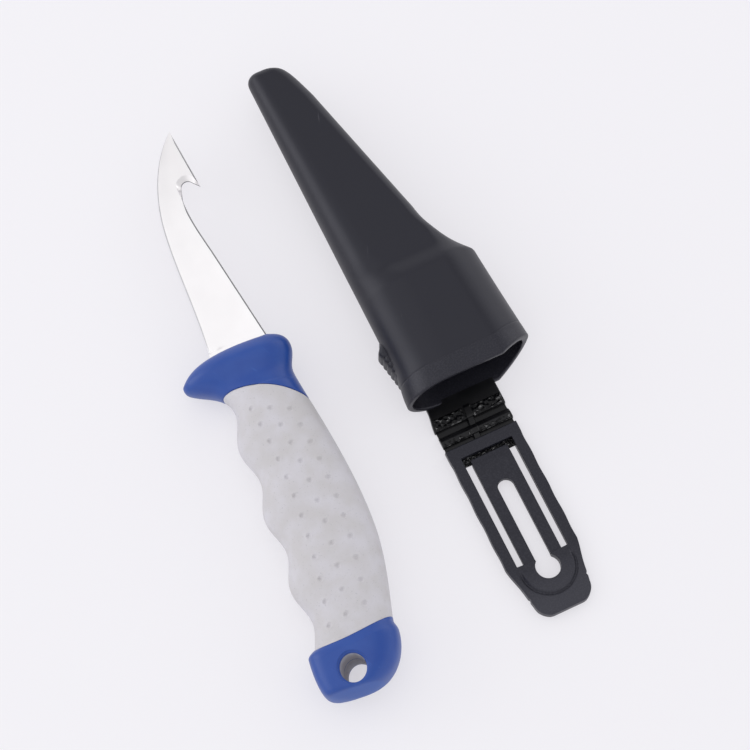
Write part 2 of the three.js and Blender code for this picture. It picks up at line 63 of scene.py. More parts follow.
STEP_END = 44.6
POCKET_HALF = 10.8
TIP_HALF = 5.4
TIP_ROUND = 3.6
MOULD_LINE = 7.0
MOULD_GROOVE = 0.09
LIP_RISE = 5.6
LIP_START = 31.9
LIP_RUN = 13.0
LIP_FADE = 34.0
RIM_HEIGHT = 0.7

tongue_middle = sum(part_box("belt_tongue"), Vector()) / 2
sheath_origin = np.array([
    tongue_middle.x * MM - HANGER_CENTRE,
    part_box("sheath_body")[1].y * MM - SHEATH_LENGTH + 0.05,
    0.0,
])


def bezier(start, first, second, end, count=40):
    """Cubic curve: its four points weighted by the Bernstein terms of t from 0 to 1."""
    t = np.linspace(0, 1, count)[:, None]
    weights = (1 - t) ** 3, 3 * t * (1 - t) ** 2, 3 * t**2 * (1 - t), t**3
    return sum(w * np.array(p, float) for w, p in zip(weights, (start, first, second, end)))


def smooth(value, low, high):
    """0 below low and 1 above high, with the cubic 3t^2 - 2t^3 between."""
    t = np.clip((value - low) / (high - low), 0, 1)
    return t * t * (3 - 2 * t)


def surface(name, rings, loop=False, crease=35):
    """A closed mesh through a stack of rings (ring, point, xyz) in millimetres.

    Four-sided faces join each ring to the next. A fan to the ring's middle closes each
    end, or a loop joins the last ring to the first. The signed volume turns faces outward.
    """
    count, size = rings.shape[:2]
    here = np.arange(size)
    there = np.roll(here, -1)
    first = np.arange(count if loop else count - 1)[:, None] * size
    second = (first + size) % (count * size)
    quads = np.stack([first + here, first + there, second + there, second + here], -1)
    quads = quads.reshape(-1, 4)
    points = rings.reshape(-1, 3)
    triangles = np.concatenate([quads[:, [0, 1, 2]], quads[:, [0, 2, 3]]])
    fans = np.zeros((0, 3), int)
    if not loop:
        last = (count - 1) * size
        points = np.vstack([points, rings[0].mean(0), rings[-1].mean(0)])
        front = np.stack([there, here, np.full(size, count * size)], -1)
        back = np.stack([last + here, last + there, np.full(size, count * size + 1)], -1)
        fans = np.concatenate([front, back])
    corners = points[np.concatenate([triangles, fans])]
    volume = np.einsum("ij,ij->", corners[:, 0], np.cross(corners[:, 1], corners[:, 2]))
    step = 1 if volume > 0 else -1
    faces = quads[:, ::step].tolist() + fans[:, ::step].tolist()
    return shape(name, points, faces, crease)


def shape(name, points, faces, crease, finishes=None):
    """A mesh object from points in millimetres and faces, doubles merged, creased by angle.

    Finishes gives each face the number of its material.
    """
    mesh = bpy.data.meshes.new(name)
    mesh.from_pydata((points / MM).tolist(), [], faces)
    if finishes is not None:
        mesh.polygons.foreach_set("material_index", finishes)
    work = bmesh.new()
    work.from_mesh(mesh)
    bmesh.ops.remove_doubles(work, verts=work.verts, dist=4e-7)
    bmesh.ops.dissolve_degenerate(work, edges=work.edges, dist=2e-7)
    work.to_mesh(mesh)
    work.free()
    mesh.shade_smooth()
    mesh.set_sharp_from_angle(angle=math.radians(crease))
    piece = bpy.data.objects.new(name, mesh)
    bpy.context.scene.collection.objects.link(piece)
    return piece


def sheath_sides(y):
    """Left and right edge of the sheath at each y: two traced outlines read by height."""
    left = np.vstack([
        bezier((-1.5, 0), (-1.5, 6), (0, 8), (0, 16)),
        bezier((0, 125.6), (0, 128), (1.2, SHEATH_LENGTH), (4.2, SHEATH_LENGTH), 80),
    ])
    right = np.vstack([
        [[44.5, 0]],
        bezier((41.9, 39.6), (38.5, 43.6), (31.8, 49.5), (30.3, 61)),
        bezier((18.2, 113.4), (14.4, 125.5), (14.0, SHEATH_LENGTH), (4.2, SHEATH_LENGTH), 80),
    ])
    return np.interp(y, left[:, 1], left[:, 0]), np.interp(y, right[:, 1], right[:, 0])


def sheath_half(y):
    """Half depth: the throat's, stepping down to the pocket's taper, closed by a round tip."""
    pocket = POCKET_HALF + (TIP_HALF - POCKET_HALF) * (y - STEP_END) / (SHEATH_LENGTH - STEP_END)
    step = smooth(y, STEP_START, STEP_END)
    from_tip = np.clip((SHEATH_LENGTH - y) / TIP_ROUND, 0, 1)
    return (THROAT_HALF * (1 - step) + pocket * step) * np.sqrt(1 - (1 - from_tip) ** 2)


def sheath_rings(y, inset):
    """Sections at heights y, moved in by inset.

    The left side is a quarter ellipse, the face is flat, and the right side is a long
    soft slope on the throat that turns into a rounder edge on the pocket.
    """
    y = y[:, None]
    inset = inset[:, None]
    pocket = smooth(y, STEP_START, STEP_START + 16)
    left, right = sheath_sides(y)
    left = left + inset
    right = right - inset * (1.4 - 0.4 * pocket)
    right = np.maximum(right, left + 1e-4)
    half = np.maximum(sheath_half(y) - inset, 1e-4)
    width = right - left
    round_left = np.minimum((1.2 - 0.3 * pocket) * half, 0.36 * width)
    bevel = np.minimum(13 + (4.5 - 13) * pocket, 0.4 * width)
    power = 2 / (1.75 + 0.25 * np.maximum(pocket, inset / SHEATH_WALL))
    turn = np.linspace(0, np.pi / 2, 20)[None, :]
    along = np.linspace(0, 1, 24)[None, 1:-1]
    falling = turn[:, ::-1]
    x = np.hstack([
        left + round_left * (1 - np.cos(turn)),
        left + round_left + (width - round_left - bevel) * along,
        right - bevel + bevel * np.cos(falling) ** power,
    ])
    z = np.hstack([
        half * np.sin(turn),
        half + 0 * along,
        half * np.sin(falling) ** power,
    ])
    x = np.hstack([x, x[:, -2:0:-1]])
    z = np.hstack([z, -z[:, -2:0:-1]])
    slant = np.clip((x - LIP_START) / LIP_RUN, 0, 1.1)
    lip = LIP_RISE * slant * np.clip(1 - y / LIP_FADE, 0, 1) ** 1.5
    return np.stack([x, y + lip, THROAT_HALF + z], -1) + sheath_origin


tip_run = SHEATH_LENGTH - 0.05 - 16 * np.linspace(0, 1, 36) ** 2
outer_y = np.concatenate([
    tip_run,
    np.linspace(SHEATH_LENGTH - 17, STEP_END + 18, 36),
    np.linspace(STEP_END + 17, STEP_START - 2, 48),
    np.linspace(STEP_START - 3, MOULD_LINE + 1.2, 24),
    np.linspace(MOULD_LINE + 1, MOULD_LINE - 1, 21),
    np.linspace(MOULD_LINE - 1.5, 0.8, 10),
])
mould_groove = MOULD_GROOVE * np.exp(-(((outer_y - MOULD_LINE) / 0.3) ** 2))
rim_turn = np.linspace(0, np.pi, 21)
rim_cos, rim_sin = np.cos(rim_turn), np.sin(rim_turn)
rim_y = RIM_HEIGHT * (1 - rim_sin**0.7)
rim_inset = SHEATH_WALL / 2 * (1 - np.sign(rim_cos) * np.abs(rim_cos) ** 0.7)
inner_y = np.concatenate([
    np.linspace(1.2, STEP_START - 3, 20),
    np.linspace(STEP_START - 2, STEP_END + 17, 40),
    np.linspace(STEP_END + 18, SHEATH_LENGTH - 3, 40),
])
sheath_shell = surface("sheath_shell", sheath_rings(
    np.concatenate([outer_y, rim_y, inner_y]),
    np.concatenate([mould_groove, rim_inset, np.full(inner_y.shape, SHEATH_WALL)]),
))


class Wire:
    """A socket in a material's nodes; arithmetic on wires and numbers adds Math nodes."""

    def __init__(self, tree, socket=None):
        self.tree = tree
        self.socket = socket

    def node(self, kind, settings, sockets, out=0):
        """Adds a node of this type, its settings first, then its sockets' values or links."""
        made = self.tree.nodes.new(kind)
        for name, value in settings.items():
            setattr(made, name, value)
        for key, value in sockets.items():
            if isinstance(value, Wire):
                self.tree.links.new(value.socket, made.inputs[key])
            else:
                made.inputs[key].default_value = value
        return Wire(self.tree, made.outputs[out] if made.outputs else None)

    def maths(self, operation, first, second=0.0):
        """One Math node on two wires or numbers."""
        return self.node("ShaderNodeMath", {"operation": operation}, {0: first, 1: second})

    def __add__(self, other):
        return self.maths("ADD", self, other)

    def __sub__(self, other):
        return self.maths("SUBTRACT", self, other)

    def __rsub__(self, other):
        return self.maths("SUBTRACT", other, self)

    def __mul__(self, other):
        return self.maths("MULTIPLY", self, other)

    __radd__ = __add__
    __rmul__ = __mul__

    def ramp(self, low, high):
        """0 below low, 1 above high, smooth between."""
        return self.node(
            "ShaderNodeMapRange", {"interpolation_type": "SMOOTHSTEP"},
            {"Value": self, "From Min": low, "From Max": high},
        )

    def tint(self, first, second):
        """Colour that goes from first to second as this wire goes from 0 to 1."""
        return self.node(
            "ShaderNodeMix", {"data_type": "RGBA"},
            {0: self, 6: (*first, 1), 7: (*second, 1)}, out=2,
        )

    def along(self, axis):
        """Position along one axis, in millimetres."""
        place = self.node("ShaderNodeTexCoord", {}, {}, out="Object")
        return self.node("ShaderNodeSeparateXYZ", {}, {"Vector": place}, out=axis) * MM

    def grain(self, pitch, stretch=(1, 1, 1), turn=0.0, detail=3.0):
        """Noise with features of about pitch millimetres, longer where stretch is above 1."""
        place = self.node("ShaderNodeTexCoord", {}, {}, out="Object")
        place = self.node("ShaderNodeMapping", {"vector_type": "TEXTURE"}, {
            "Vector": place,
            "Rotation": (0, 0, turn),
            "Scale": tuple(s * pitch / MM for s in stretch),
        })
        return self.node("ShaderNodeTexNoise", {}, {"Vector": place, "Scale": 1.0, "Detail": detail})

    def bump(self, strength, distance):
        """Normal bent by this wire as a height, in millimetres of depth."""
        return self.node("ShaderNodeBump", {}, {
            "Height": self, "Strength": strength, "Distance": distance / MM,
        })


def finish(name, recipe):
    """A material from recipe, which takes a bare wire and gives the Principled sockets."""
    material = bpy.data.materials.new(name)
    material.use_nodes = True
    material.node_tree.nodes.clear()
    start = Wire(material.node_tree)
    shader = start.node("ShaderNodeBsdfPrincipled", {}, recipe(start))
    start.node("ShaderNodeOutputMaterial", {}, {"Surface": shader})
    return material


def satin_black(start):
    """Charcoal moulding: fine spark texture, slow cloudy gloss, and pale hairline scuffs.

    Outside the mould line, toward the mouth and on the hanger, the texture is coarser. The
    hanger's far end is rubbed grey.
    """
    run = start.along("Y") - sheath_origin[1]
    coarse = 1 - run.ramp(MOULD_LINE - 0.3, MOULD_LINE + 0.3)
    rubbed = 1 - run.ramp(-76, -58)
    spark = start.grain(0.35)
    cloud = start.grain(14)
    scuff = start.grain(1.1, stretch=(1, 16, 1), turn=-0.35, detail=4.0).ramp(0.66, 0.8)
    scuff = scuff * start.grain(20, detail=1.0).ramp(0.5, 0.66)
    pale = scuff + 0.3 * coarse * start.grain(0.5, detail=2.0).ramp(0.4, 0.7)
    pale = pale + rubbed * (0.4 + 0.5 * cloud)
    return {
        "Base Color": pale.tint((0.0072, 0.0072, 0.0122), (0.04, 0.04, 0.05)),
        "Specular IOR Level": 0.44,
        "Specular Tint": (0.9, 0.9, 1, 1),
        "Roughness": 0.36 + 0.12 * cloud + 0.2 * scuff,
        "Normal": (spark * (1 + 0.8 * coarse) + 0.4 * cloud).bump(0.35, 0.03),
    }


black_moulding = finish("black_moulding", satin_black)


def join(piece, material, slot, body, *nodes):
    """Gives a piece its material, rides it on a body, and hides the CAD nodes it stands for. The slot is
    not used.
    """
    piece.data.materials.append(material)
    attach(piece, body)
    if nodes:
        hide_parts(*nodes)


join(sheath_shell, black_moulding, "black_plastic", "sheath", "sheath_body")


# Thumb ramp: a wedge moulded on the left of the throat, highest at the end away from the
# mouth, with six cross ribs, so that the thumb can push the sheath off the guard.
RAMP_REACH = 2.2
RAMP_TOP = 20.6
RAMP_LENGTH = 12.2
RAMP_MIDDLE = 10.0
RAMP_HALF = 5.0
RAMP_RIBS = 6
RIB_DEPTH = 0.7
RAMP_LEAD = 4.0
RAMP_ROOT = 1.6

ramp_y = np.linspace(RAMP_TOP + RAMP_LEAD, RAMP_TOP - RAMP_LENGTH - 1, 170)
ramp_down = np.clip((RAMP_TOP - ramp_y) / RAMP_LENGTH, 0, 1)
rib = np.abs(np.sin(np.pi * RAMP_RIBS * ramp_down)) ** 0.55
rib_cut = RIB_DEPTH * (1 - rib) * smooth(ramp_down, 0.02, 0.1)
ramp_rise = smooth(RAMP_TOP + RAMP_LEAD - ramp_y, 0, RAMP_LEAD + 0.4)
ramp_x = rib_cut - RAMP_REACH * ramp_rise * (1 - ramp_down)
ramp_profile = np.vstack([
    np.stack([ramp_x, ramp_y], -1),
    np.stack([np.full(8, RAMP_ROOT), np.linspace(ramp_y[-1], ramp_y[0], 8)], -1),
])
ramp_z = np.sin(np.linspace(-np.pi / 2, np.pi / 2, 33))
ramp_swell = np.clip(1 - np.abs(ramp_z) ** 5, 0, 1) ** 0.4
ramp_shape = (33, len(ramp_profile))
ramp_rings = np.stack([
    RAMP_ROOT + (ramp_profile[None, :, 0] - RAMP_ROOT) * ramp_swell[:, None],
    np.broadcast_to(ramp_profile[None, :, 1], ramp_shape),
    np.broadcast_to(RAMP_MIDDLE + RAMP_HALF * ramp_z[:, None], ramp_shape),
], -1)
thumb_ramp = surface("thumb_ramp", ramp_rings + sheath_origin)
join(thumb_ramp, black_moulding, "black_plastic", "sheath")


# Hanger strap: the flat strip that runs on from the back of the throat. Its last part has
# two coarse, shiny gripping strips with a smooth flow rib between them.
STRAP_LEFT = 4.5
STRAP_RIGHT = 30.0
STRAP_TOP = 2.2
STRAP_END = -8.0
STRIP_RISE = 0.6
STRIP_PITCH = 2.8
FLOW_HALF = 1.15
FLOW_RISE = 0.35


def slab(y, left, right, low, high, corner, across=90):
    """Rounded oblong sections at heights y: corner arcs joined by a top row of points."""
    y, left, right, low, high, corner = (
        np.broadcast_to(v, np.shape(y))[:, None] for v in (y, left, right, low, high, corner)
    )
    arc = np.linspace(0, np.pi / 2, 6)[None, :]
    along = np.linspace(0, 1, across)[None, 1:-1]
    sine = corner * (1 - np.sin(arc))
    cosine = corner * (1 - np.cos(arc))
    x = np.hstack([
        left + cosine,
        left + corner + (right - left - 2 * corner) * along,
        right - cosine[:, ::-1],
        right - cosine,
        left + cosine[:, ::-1],
    ])
    z = np.hstack([
        high - sine,
        high + 0 * along,
        high - sine[:, ::-1],
        low + sine,
        low + sine[:, ::-1],
    ])
    return np.stack([x, np.broadcast_to(y, x.shape), z], -1)


def lumps(x, y, pitch):
    """Rough texture from 0 to 1: sines along nine directions a golden angle apart."""
    order = np.arange(9)
    turn = order * 2.39996
    wave = 2 * np.pi / pitch * (1 + 0.14 * order)
    along = x[..., None] * np.cos(turn) + y[..., None] * np.sin(turn)
    return np.clip(0.5 + 0.28 * np.sin(wave * along + 1.7 * order).sum(-1) / 1.5, 0, 1)


def flow_centre(y):
    """Middle of the flow rib, which leans a little to the left as it runs to the hanger."""
    return 17.75 + 0.116 * (y + 4)


def flow_rib(rings):
    """1 on the flow rib and 0 beside it, on the upper side of a slab's rings."""
    away = np.abs(rings[..., 0] - flow_centre(rings[..., 1]))
    return (1 - smooth(away, FLOW_HALF - 0.25, FLOW_HALF + 0.2)) * (rings[..., 2] > 0.3)


strap_bend = np.sin(np.linspace(0.1, np.pi / 2, 8))
strap_y = np.concatenate([np.linspace(1.5, STRAP_END + 0.7, 40), STRAP_END + 0.7 * (1 - strap_bend)])
strap_over = np.clip((STRAP_END + 0.7 - strap_y) / 0.7, 0, 1)
strap_ease = 1.3 * (1 - np.sqrt(1 - strap_over**2))
strap_rings = slab(
    strap_y, STRAP_LEFT + smooth(strap_y, STRAP_END, 0), STRAP_RIGHT,
    0.0, STRAP_TOP - strap_ease, 0.45, 160,
)
strap_rings[..., 2] += FLOW_RISE * flow_rib(strap_rings) * smooth(-strap_y, 3.4, 4.2)[:, None]
strap = surface("hanger_strap", strap_rings + sheath_origin)


def rough_black(start):
    """The same black resin where the tool is coarse: dark, with sparse wet-looking peaks."""
    peaks = start.grain(1.6, detail=2.0)
    return {
        "Base Color": (0.004, 0.004, 0.005, 1),
        "Specular IOR Level": 0.2,
        "Roughness": 0.3,
        "Coat Weight": peaks.ramp(0.52, 0.66),
        "Coat IOR": 1.9,
        "Coat Roughness": 0.12,
        "Normal": peaks.bump(0.9, 0.5),
    }


def smooth_black(start):
    """The same resin off a polished tool, round the hinges: darker, with greyer worn patches."""
    patch = start.grain(16, detail=4.0).ramp(0.45, 0.7)
    return {
        "Base Color": patch.tint((0.004, 0.004, 0.005), (0.012, 0.012, 0.014)),
        "Specular IOR Level": 0.3,
        "Roughness": 0.3 + 0.14 * patch,
        "Normal": start.grain(0.5).bump(0.25, 0.04),
    }


rough_moulding = finish("rough_moulding", rough_black)
smooth_moulding = finish("smooth_moulding", smooth_black)
join(strap, smooth_moulding, "black_plastic", "sheath")


def rough_strip(name, left, right, top, bottom, base, body):
    """A pad whose upper face is raised by lumps, sunk into the flat face under it."""
    y = np.linspace(top, bottom, 44)
    edge = smooth(top - y, 0, 0.5) * smooth(y - bottom, 0, 0.5)
    rings = slab(y, left, right, base - 0.4, base + 0.05, 0.2, 130)
    x = rings[..., 0]
    side = smooth(x, left, left + 0.6) * smooth(right - x, 0, 0.6)
    texture = 0.2 + 0.8 * lumps(x, rings[..., 1], STRIP_PITCH)
    rings[..., 2] += (rings[..., 2] > base) * side * edge[:, None] * STRIP_RISE * texture
    join(surface(name, rings + sheath_origin, crease=60), rough_moulding, "black_plastic", body)


rough_strip("strap_strip_left", 5.3, 16.1, -3.8, -7.9, STRAP_TOP, "sheath")
rough_strip("strap_strip_right", 18.8, 29.6, -4.2, -8.0, STRAP_TOP, "sheath")


# Living hinges: two webs under a millimetre thick, moulded with the strap, with the link
# bar between them. A thin flow rib crosses both, so that the resin fills the hanger.
WEB_TOP = 0.6
WEB_RIB = 1.3
LINK_ROUGH = 1.75
LINK_TOP_Y = -9.9
LINK_END_Y = -13.7
FRAME_TOP_Y = -15.4

link_y = np.linspace(LINK_TOP_Y, LINK_END_Y, 60)
link_ease = smooth(LINK_TOP_Y - link_y, 0, 0.5) * smooth(link_y - LINK_END_Y, 0, 0.35)
link_slope = 0.65 + 0.85 * smooth(LINK_TOP_Y - link_y, 0.3, 1.9)
link_rings = slab(link_y, STRAP_LEFT + 0.3, STRAP_RIGHT, 0.0, 0.7 + link_slope * link_ease, 0.3, 160)
link_rings[..., 2] += FLOW_RISE * flow_rib(link_rings) * link_ease[:, None]
link_bar = surface("link_bar", link_rings + sheath_origin, crease=60)
join(link_bar, smooth_moulding, "black_plastic", "link", "hinge_link")
rough_strip("link_strip_left", STRAP_LEFT + 0.6, 15.2, -11.9, -13.65, LINK_ROUGH, "link")
rough_strip("link_strip_right", 17.9, STRAP_RIGHT - 0.3, -11.9, -13.65, LINK_ROUGH, "link")


def web(name, top, bottom):
    """A thin sheet with the flow rib as a raised band, lying between two bodies but attached to neither."""
    y = np.linspace(top, bottom, 36)
    rings = slab(y, STRAP_LEFT + 0.5, STRAP_RIGHT - 0.2, 0.05, WEB_TOP, 0.2, 160)
    rings[..., 2] += WEB_RIB * flow_rib(rings)
    piece = surface(name, rings + sheath_origin, crease=60)
    piece.data.materials.append(smooth_moulding)
    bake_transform(piece)


web("web_upper", STRAP_END + 0.5, LINK_TOP_Y - 0.5)
web("web_lower", LINK_END_Y + 0.5, FRAME_TOP_Y - 0.5)


# Hanger frame: a flat moulded ring with a long window, tapered to a keyhole end that
# buttons over a stud or slips behind a belt. A raised collar rings the keyhole.
FRAME_TOP = 3.0
FRAME_HALF = 12.75
FRAME_END_Y = -78.5
WINDOW_TOP_Y = -19.6
WINDOW_END_Y = -59.9
WINDOW_HALF = 9.05
SLOT_HALF = 2.75
KEY_Y = -63.6
KEY_RADIUS = 4.1
COLLAR_RADIUS = 8.2
COLLAR_RISE = 0.6
COLLAR_GROOVE = 0.45
LEDGE_END_Y = -22.3
LEDGE_TOP = 0.8
END_HALF = 9.8
END_CORNER = 5.0
SIDE_END_Y = -55.0
TAPER_START_Y = -59.0
TAPER_MIDDLE = (-11.7, -64)
TAPER_END = (-11.1, -67)
NOTCH_Y = -71.0


def arc(centre_x, centre_y, radius, start, end, count=40):
    """Points on a circle from one angle to another, in degrees."""
    turn = np.radians(np.linspace(start, end, count))
    return np.stack([centre_x + radius * np.cos(turn), centre_y + radius * np.sin(turn)], -1)


def spread(points, count):
    """The same line with count points, evenly spaced along its length."""
    points = np.array(points, float)
    run = np.concatenate([[0], np.cumsum(np.hypot(*np.diff(points, axis=0).T))])
    even = np.linspace(0, run[-1], count)
    return np.stack([np.interp(even, run, points[:, 0]), np.interp(even, run, points[:, 1])], -1)


def band(name, inside, outside, top_at, low_at, bevel, loop, across=22):
    """A flat band between two lines of equal length, with rounded edges.

    Each station is a closed section: up the inner edge, over the top at height top_at(x, y),
    down the outer edge and back along the bottom at height low_at(y).
    """
    width = np.linalg.norm(outside - inside, axis=1)[:, None]
    turn = np.linspace(0, np.pi / 2, 5)[None, :]
    drop = bevel * (1 - np.sin(turn))
    inner = bevel * (1 - np.cos(turn)) / width
    along = np.linspace(0, 1, across)[None, 1:-1]
    share = np.hstack([
        np.full_like(width, 0.15) / width, 0 * width,
        inner, (bevel + (width - 2 * bevel) * along) / width, 1 - inner[:, ::-1],
        1 + 0 * width, 1 - 0.15 / width,
    ])
    fall = np.hstack([drop, 0 * along, drop[:, ::-1]])
    flat = inside[:, None, :] + (outside - inside)[:, None, :] * share[..., None]
    height = top_at(flat[:, 2:-2, 0], flat[:, 2:-2, 1]) - fall
    low = low_at(flat[..., 1])
    z = np.hstack([low[:, :1], low[:, 1:2] + 0.15, height, low[:, -2:-1] + 0.15, low[:, -1:]])
    rings = np.concatenate([flat, z[..., None]], -1)
    rings[..., 0] += HANGER_CENTRE
    return surface(name, rings + sheath_origin, loop=loop, crease=40)


def frame_top(x, y):
    """Height of the frame: flat, with a collar below the keyhole that slopes to a groove."""
    reach = np.where(y < KEY_Y, np.hypot(x, y - KEY_Y), np.abs(x))
    collar = 1 - smooth(reach, COLLAR_RADIUS - 0.2, COLLAR_RADIUS + 1.0)
    groove = np.exp(-(((reach - COLLAR_RADIUS - 0.9) / 0.5) ** 2))
    return FRAME_TOP + (COLLAR_RISE * collar - COLLAR_GROOVE * groove) * smooth(KEY_Y + 3.5 - y, 0, 4.5)


def frame_low(y):
    """Underside of the frame: flat on the table."""
    return 0 * y


key_angle = math.degrees(math.acos(SLOT_HALF / KEY_RADIUS))
key_start_y = KEY_Y + math.sqrt(KEY_RADIUS**2 - SLOT_HALF**2)
end_corner = arc(-END_HALF + END_CORNER, FRAME_END_Y + END_CORNER, END_CORNER, 180, 270)
left_stretches = [
    (
        [(-FRAME_HALF, FRAME_TOP_Y), (-FRAME_HALF, SIDE_END_Y)],
        [(-WINDOW_HALF, WINDOW_TOP_Y), (-WINDOW_HALF, SIDE_END_Y)],
        90,
    ),
    (
        [(-FRAME_HALF, SIDE_END_Y), (-FRAME_HALF, TAPER_START_Y)],
        [(-WINDOW_HALF, SIDE_END_Y), (-WINDOW_HALF, WINDOW_END_Y)],
        14,
    ),
    (
        [(-FRAME_HALF, TAPER_START_Y), TAPER_MIDDLE],
        [(-WINDOW_HALF, WINDOW_END_Y), (-SLOT_HALF, WINDOW_END_Y)],
        24,
    ),
    ([TAPER_MIDDLE, TAPER_END], [(-SLOT_HALF, WINDOW_END_Y), (-SLOT_HALF, key_start_y)], 12),
    (
        np.vstack([[TAPER_END], end_corner, [(0, FRAME_END_Y)]]),
        arc(0, KEY_Y, KEY_RADIUS, 180 - key_angle, 270),
        90,
    ),
]
frame_outside = np.vstack([spread(o, n)[:-1] for o, i, n in left_stretches])
frame_inside = np.vstack([spread(i, n)[:-1] for o, i, n in left_stretches])
notch = 0.35 * np.exp(-(((frame_outside[:, 1] - NOTCH_Y) / 0.45) ** 2))
ripple = 0.1 * (1 + np.sin(frame_outside[:, 1] * 0.55 + 0.6)) * smooth(-frame_outside[:, 1], 18, 22)
frame_outside[:, 0] += (notch + ripple) * smooth(-frame_outside[:, 0], 6, 8)
mirror = np.array([-1, 1])
frame_outside = np.vstack([
    frame_outside, [(0, FRAME_END_Y)], frame_outside[:0:-1] * mirror,
    spread([(FRAME_HALF, FRAME_TOP_Y), (-FRAME_HALF, FRAME_TOP_Y)], 50)[:-1],
])
frame_inside = np.vstack([
    frame_inside, [(0, KEY_Y - KEY_RADIUS)], frame_inside[:0:-1] * mirror,
    spread([(WINDOW_HALF, WINDOW_TOP_Y), (-WINDOW_HALF, WINDOW_TOP_Y)], 50)[:-1],
])
hanger = band("hanger_frame_skin", frame_inside, frame_outside, frame_top, frame_low, 0.4, True, 64)
join(hanger, black_moulding, "black_plastic", "hanger", "hanger_frame")
ledge_rings = slab(
    np.linspace(WINDOW_TOP_Y + 0.5, LEDGE_END_Y, 40), HANGER_CENTRE - WINDOW_HALF - 0.4,
    HANGER_CENTRE + WINDOW_HALF + 0.4, 0.0, LEDGE_TOP, 0.1, 120,
)
ledge_rough = 0.3 * lumps(ledge_rings[..., 0], ledge_rings[..., 1], 1.6)
ledge_rings[..., 2] -= ledge_rough * (ledge_rings[..., 2] > LEDGE_TOP / 2)
ledge = surface("window_ledge", ledge_rings + sheath_origin, crease=60)
join(ledge, rough_moulding, "black_plastic", "hanger")


# Belt tongue: a springy U of the same moulding inside the window, rooted beside the
# keyhole. The belt slides in under its free end, which rests over a ledge of the frame.
TONGUE_HALF = 6.65
TONGUE_LOW = 0.3
TONGUE_TOP = 2.7
TONGUE_FREE_Y = -21.1
SLOT_TOP_Y = -34.1
TONGUE_ROOT_Y = -60.2
TONGUE_CORNER = 0.8
FLASH_DEPTH = 0.07

free_corner = arc(-TONGUE_HALF + TONGUE_CORNER, TONGUE_FREE_Y - TONGUE_CORNER, TONGUE_CORNER, 180, 90)
tongue_left = [
    (
        [(-TONGUE_HALF, TONGUE_ROOT_Y), (-TONGUE_HALF, SLOT_TOP_Y)],
        [(-SLOT_HALF, TONGUE_ROOT_Y), (-SLOT_HALF, SLOT_TOP_Y)],
        60,
    ),
    (
        np.vstack([[(-TONGUE_HALF, SLOT_TOP_Y)], free_corner, [(0, TONGUE_FREE_Y)]]),
        arc(0, SLOT_TOP_Y, SLOT_HALF, 180, 90),
        50,
    ),
]
tongue_outside = np.vstack([spread(o, n)[:-1] for o, i, n in tongue_left])
tongue_inside = np.vstack([spread(i, n)[:-1] for o, i, n in tongue_left])
tongue_outside = np.vstack([tongue_outside, [(0, TONGUE_FREE_Y)], tongue_outside[::-1] * mirror])
tongue_inside = np.vstack([tongue_inside, [(0, SLOT_TOP_Y + SLOT_HALF)], tongue_inside[::-1] * mirror])
free_edge = tongue_outside[:, 1] > TONGUE_FREE_Y - 0.3
tongue_outside[:, 1] += FLASH_DEPTH * np.sin(5.1 * tongue_outside[:, 0]) * free_edge


def tongue_top(x, y):
    """Height of the tongue: flat, thinning a little to its free end."""
    return TONGUE_TOP - 0.3 * smooth(y, TONGUE_FREE_Y - 4, TONGUE_FREE_Y) + 0 * x


def tongue_low(y):
    """Underside of the tongue: lifted at the free end to clear the ledge."""
    return TONGUE_LOW + 0.95 * smooth(y, TONGUE_FREE_Y - 2.2, TONGUE_FREE_Y - 1.2)


tongue = band("tongue_spring", tongue_inside, tongue_outside, tongue_top, tongue_low, 0.35, False)
tongue.data.materials.append(black_moulding)
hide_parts("belt_tongue")
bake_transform(tongue)


# Blade: 2 mm stainless strip, blanked, ground from a line above the middle down to a
# narrow sharpening bevel, with a gut hook cut and bevelled in its spine near the point.
BLADE_HALF = 1.0
EDGE_HALF = 0.06
BEVEL_HALF = 0.4
BEVEL_WIDTH = 0.45
GRIND_HOLLOW = 0.0153
SPINE_CHAMFER = 0.4
BLADE_ROOT_Y = -3.5
BLADE_SPINE = 10.3
TIP = (-1.3, 81.2)
HOOK_TIP = (3.3, 58.8)
NOTCH = (-0.9, 59.9)
NOTCH_RADIUS = 2.2
HOOK_LOW = -0.2
HOOK_ROOT = (-3.7, 56)
BLADE_HEEL = -9.7
PLUNGE_FOOT = (-9.73, 0.4)
EDGE_START = (-9.77, 0.9)
GRIND_START = (-3.1, 1.9)
GROUND, BARE, HONED = 0, 1, 2
LANYARD = (6.4, -115.0)
KNIFE_TURN = math.radians(-8.8)
KNIFE_ROLL = math.radians(-9)

turn_cos, turn_sin = math.cos(KNIFE_TURN), math.sin(KNIFE_TURN)
roll_cos, roll_sin = math.cos(KNIFE_ROLL), math.sin(KNIFE_ROLL)
knife_axes = np.array([[turn_cos, -turn_sin, 0], [turn_sin, turn_cos, 0], [0, 0, 1]]) @ np.array(
    [[roll_cos, 0, roll_sin], [0, 1, 0], [-roll_sin, 0, roll_cos]]
)
liner_low, liner_high = (np.array(corner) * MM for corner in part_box("lanyard_liner"))
knife_origin = (liner_low + liner_high) / 2 - knife_axes @ [*LANYARD, 0]


def on_knife(points):
    """Points in the knife's own axes, turned and rolled to where the knife lies."""
    return points @ knife_axes.T + knife_origin


def curve(points, count):
    """Smooth line through points: Catmull-Rom pieces, then spread evenly."""
    knots = np.array(points, float)
    knots = np.vstack([2 * knots[0] - knots[1], knots, 2 * knots[-1] - knots[-2]])
    t = np.linspace(0, 1, 24)[:, None]
    before, start, end, after = (knots[i:len(knots) - 3 + i, None, :] for i in range(4))
    pieces = 0.5 * (
        2 * start + (end - before) * t
        + (2 * before - 5 * start + 4 * end - after) * t**2
        + (3 * start - before - 3 * end + after) * t**3
    )
    return spread(pieces.reshape(-1, 2), count)


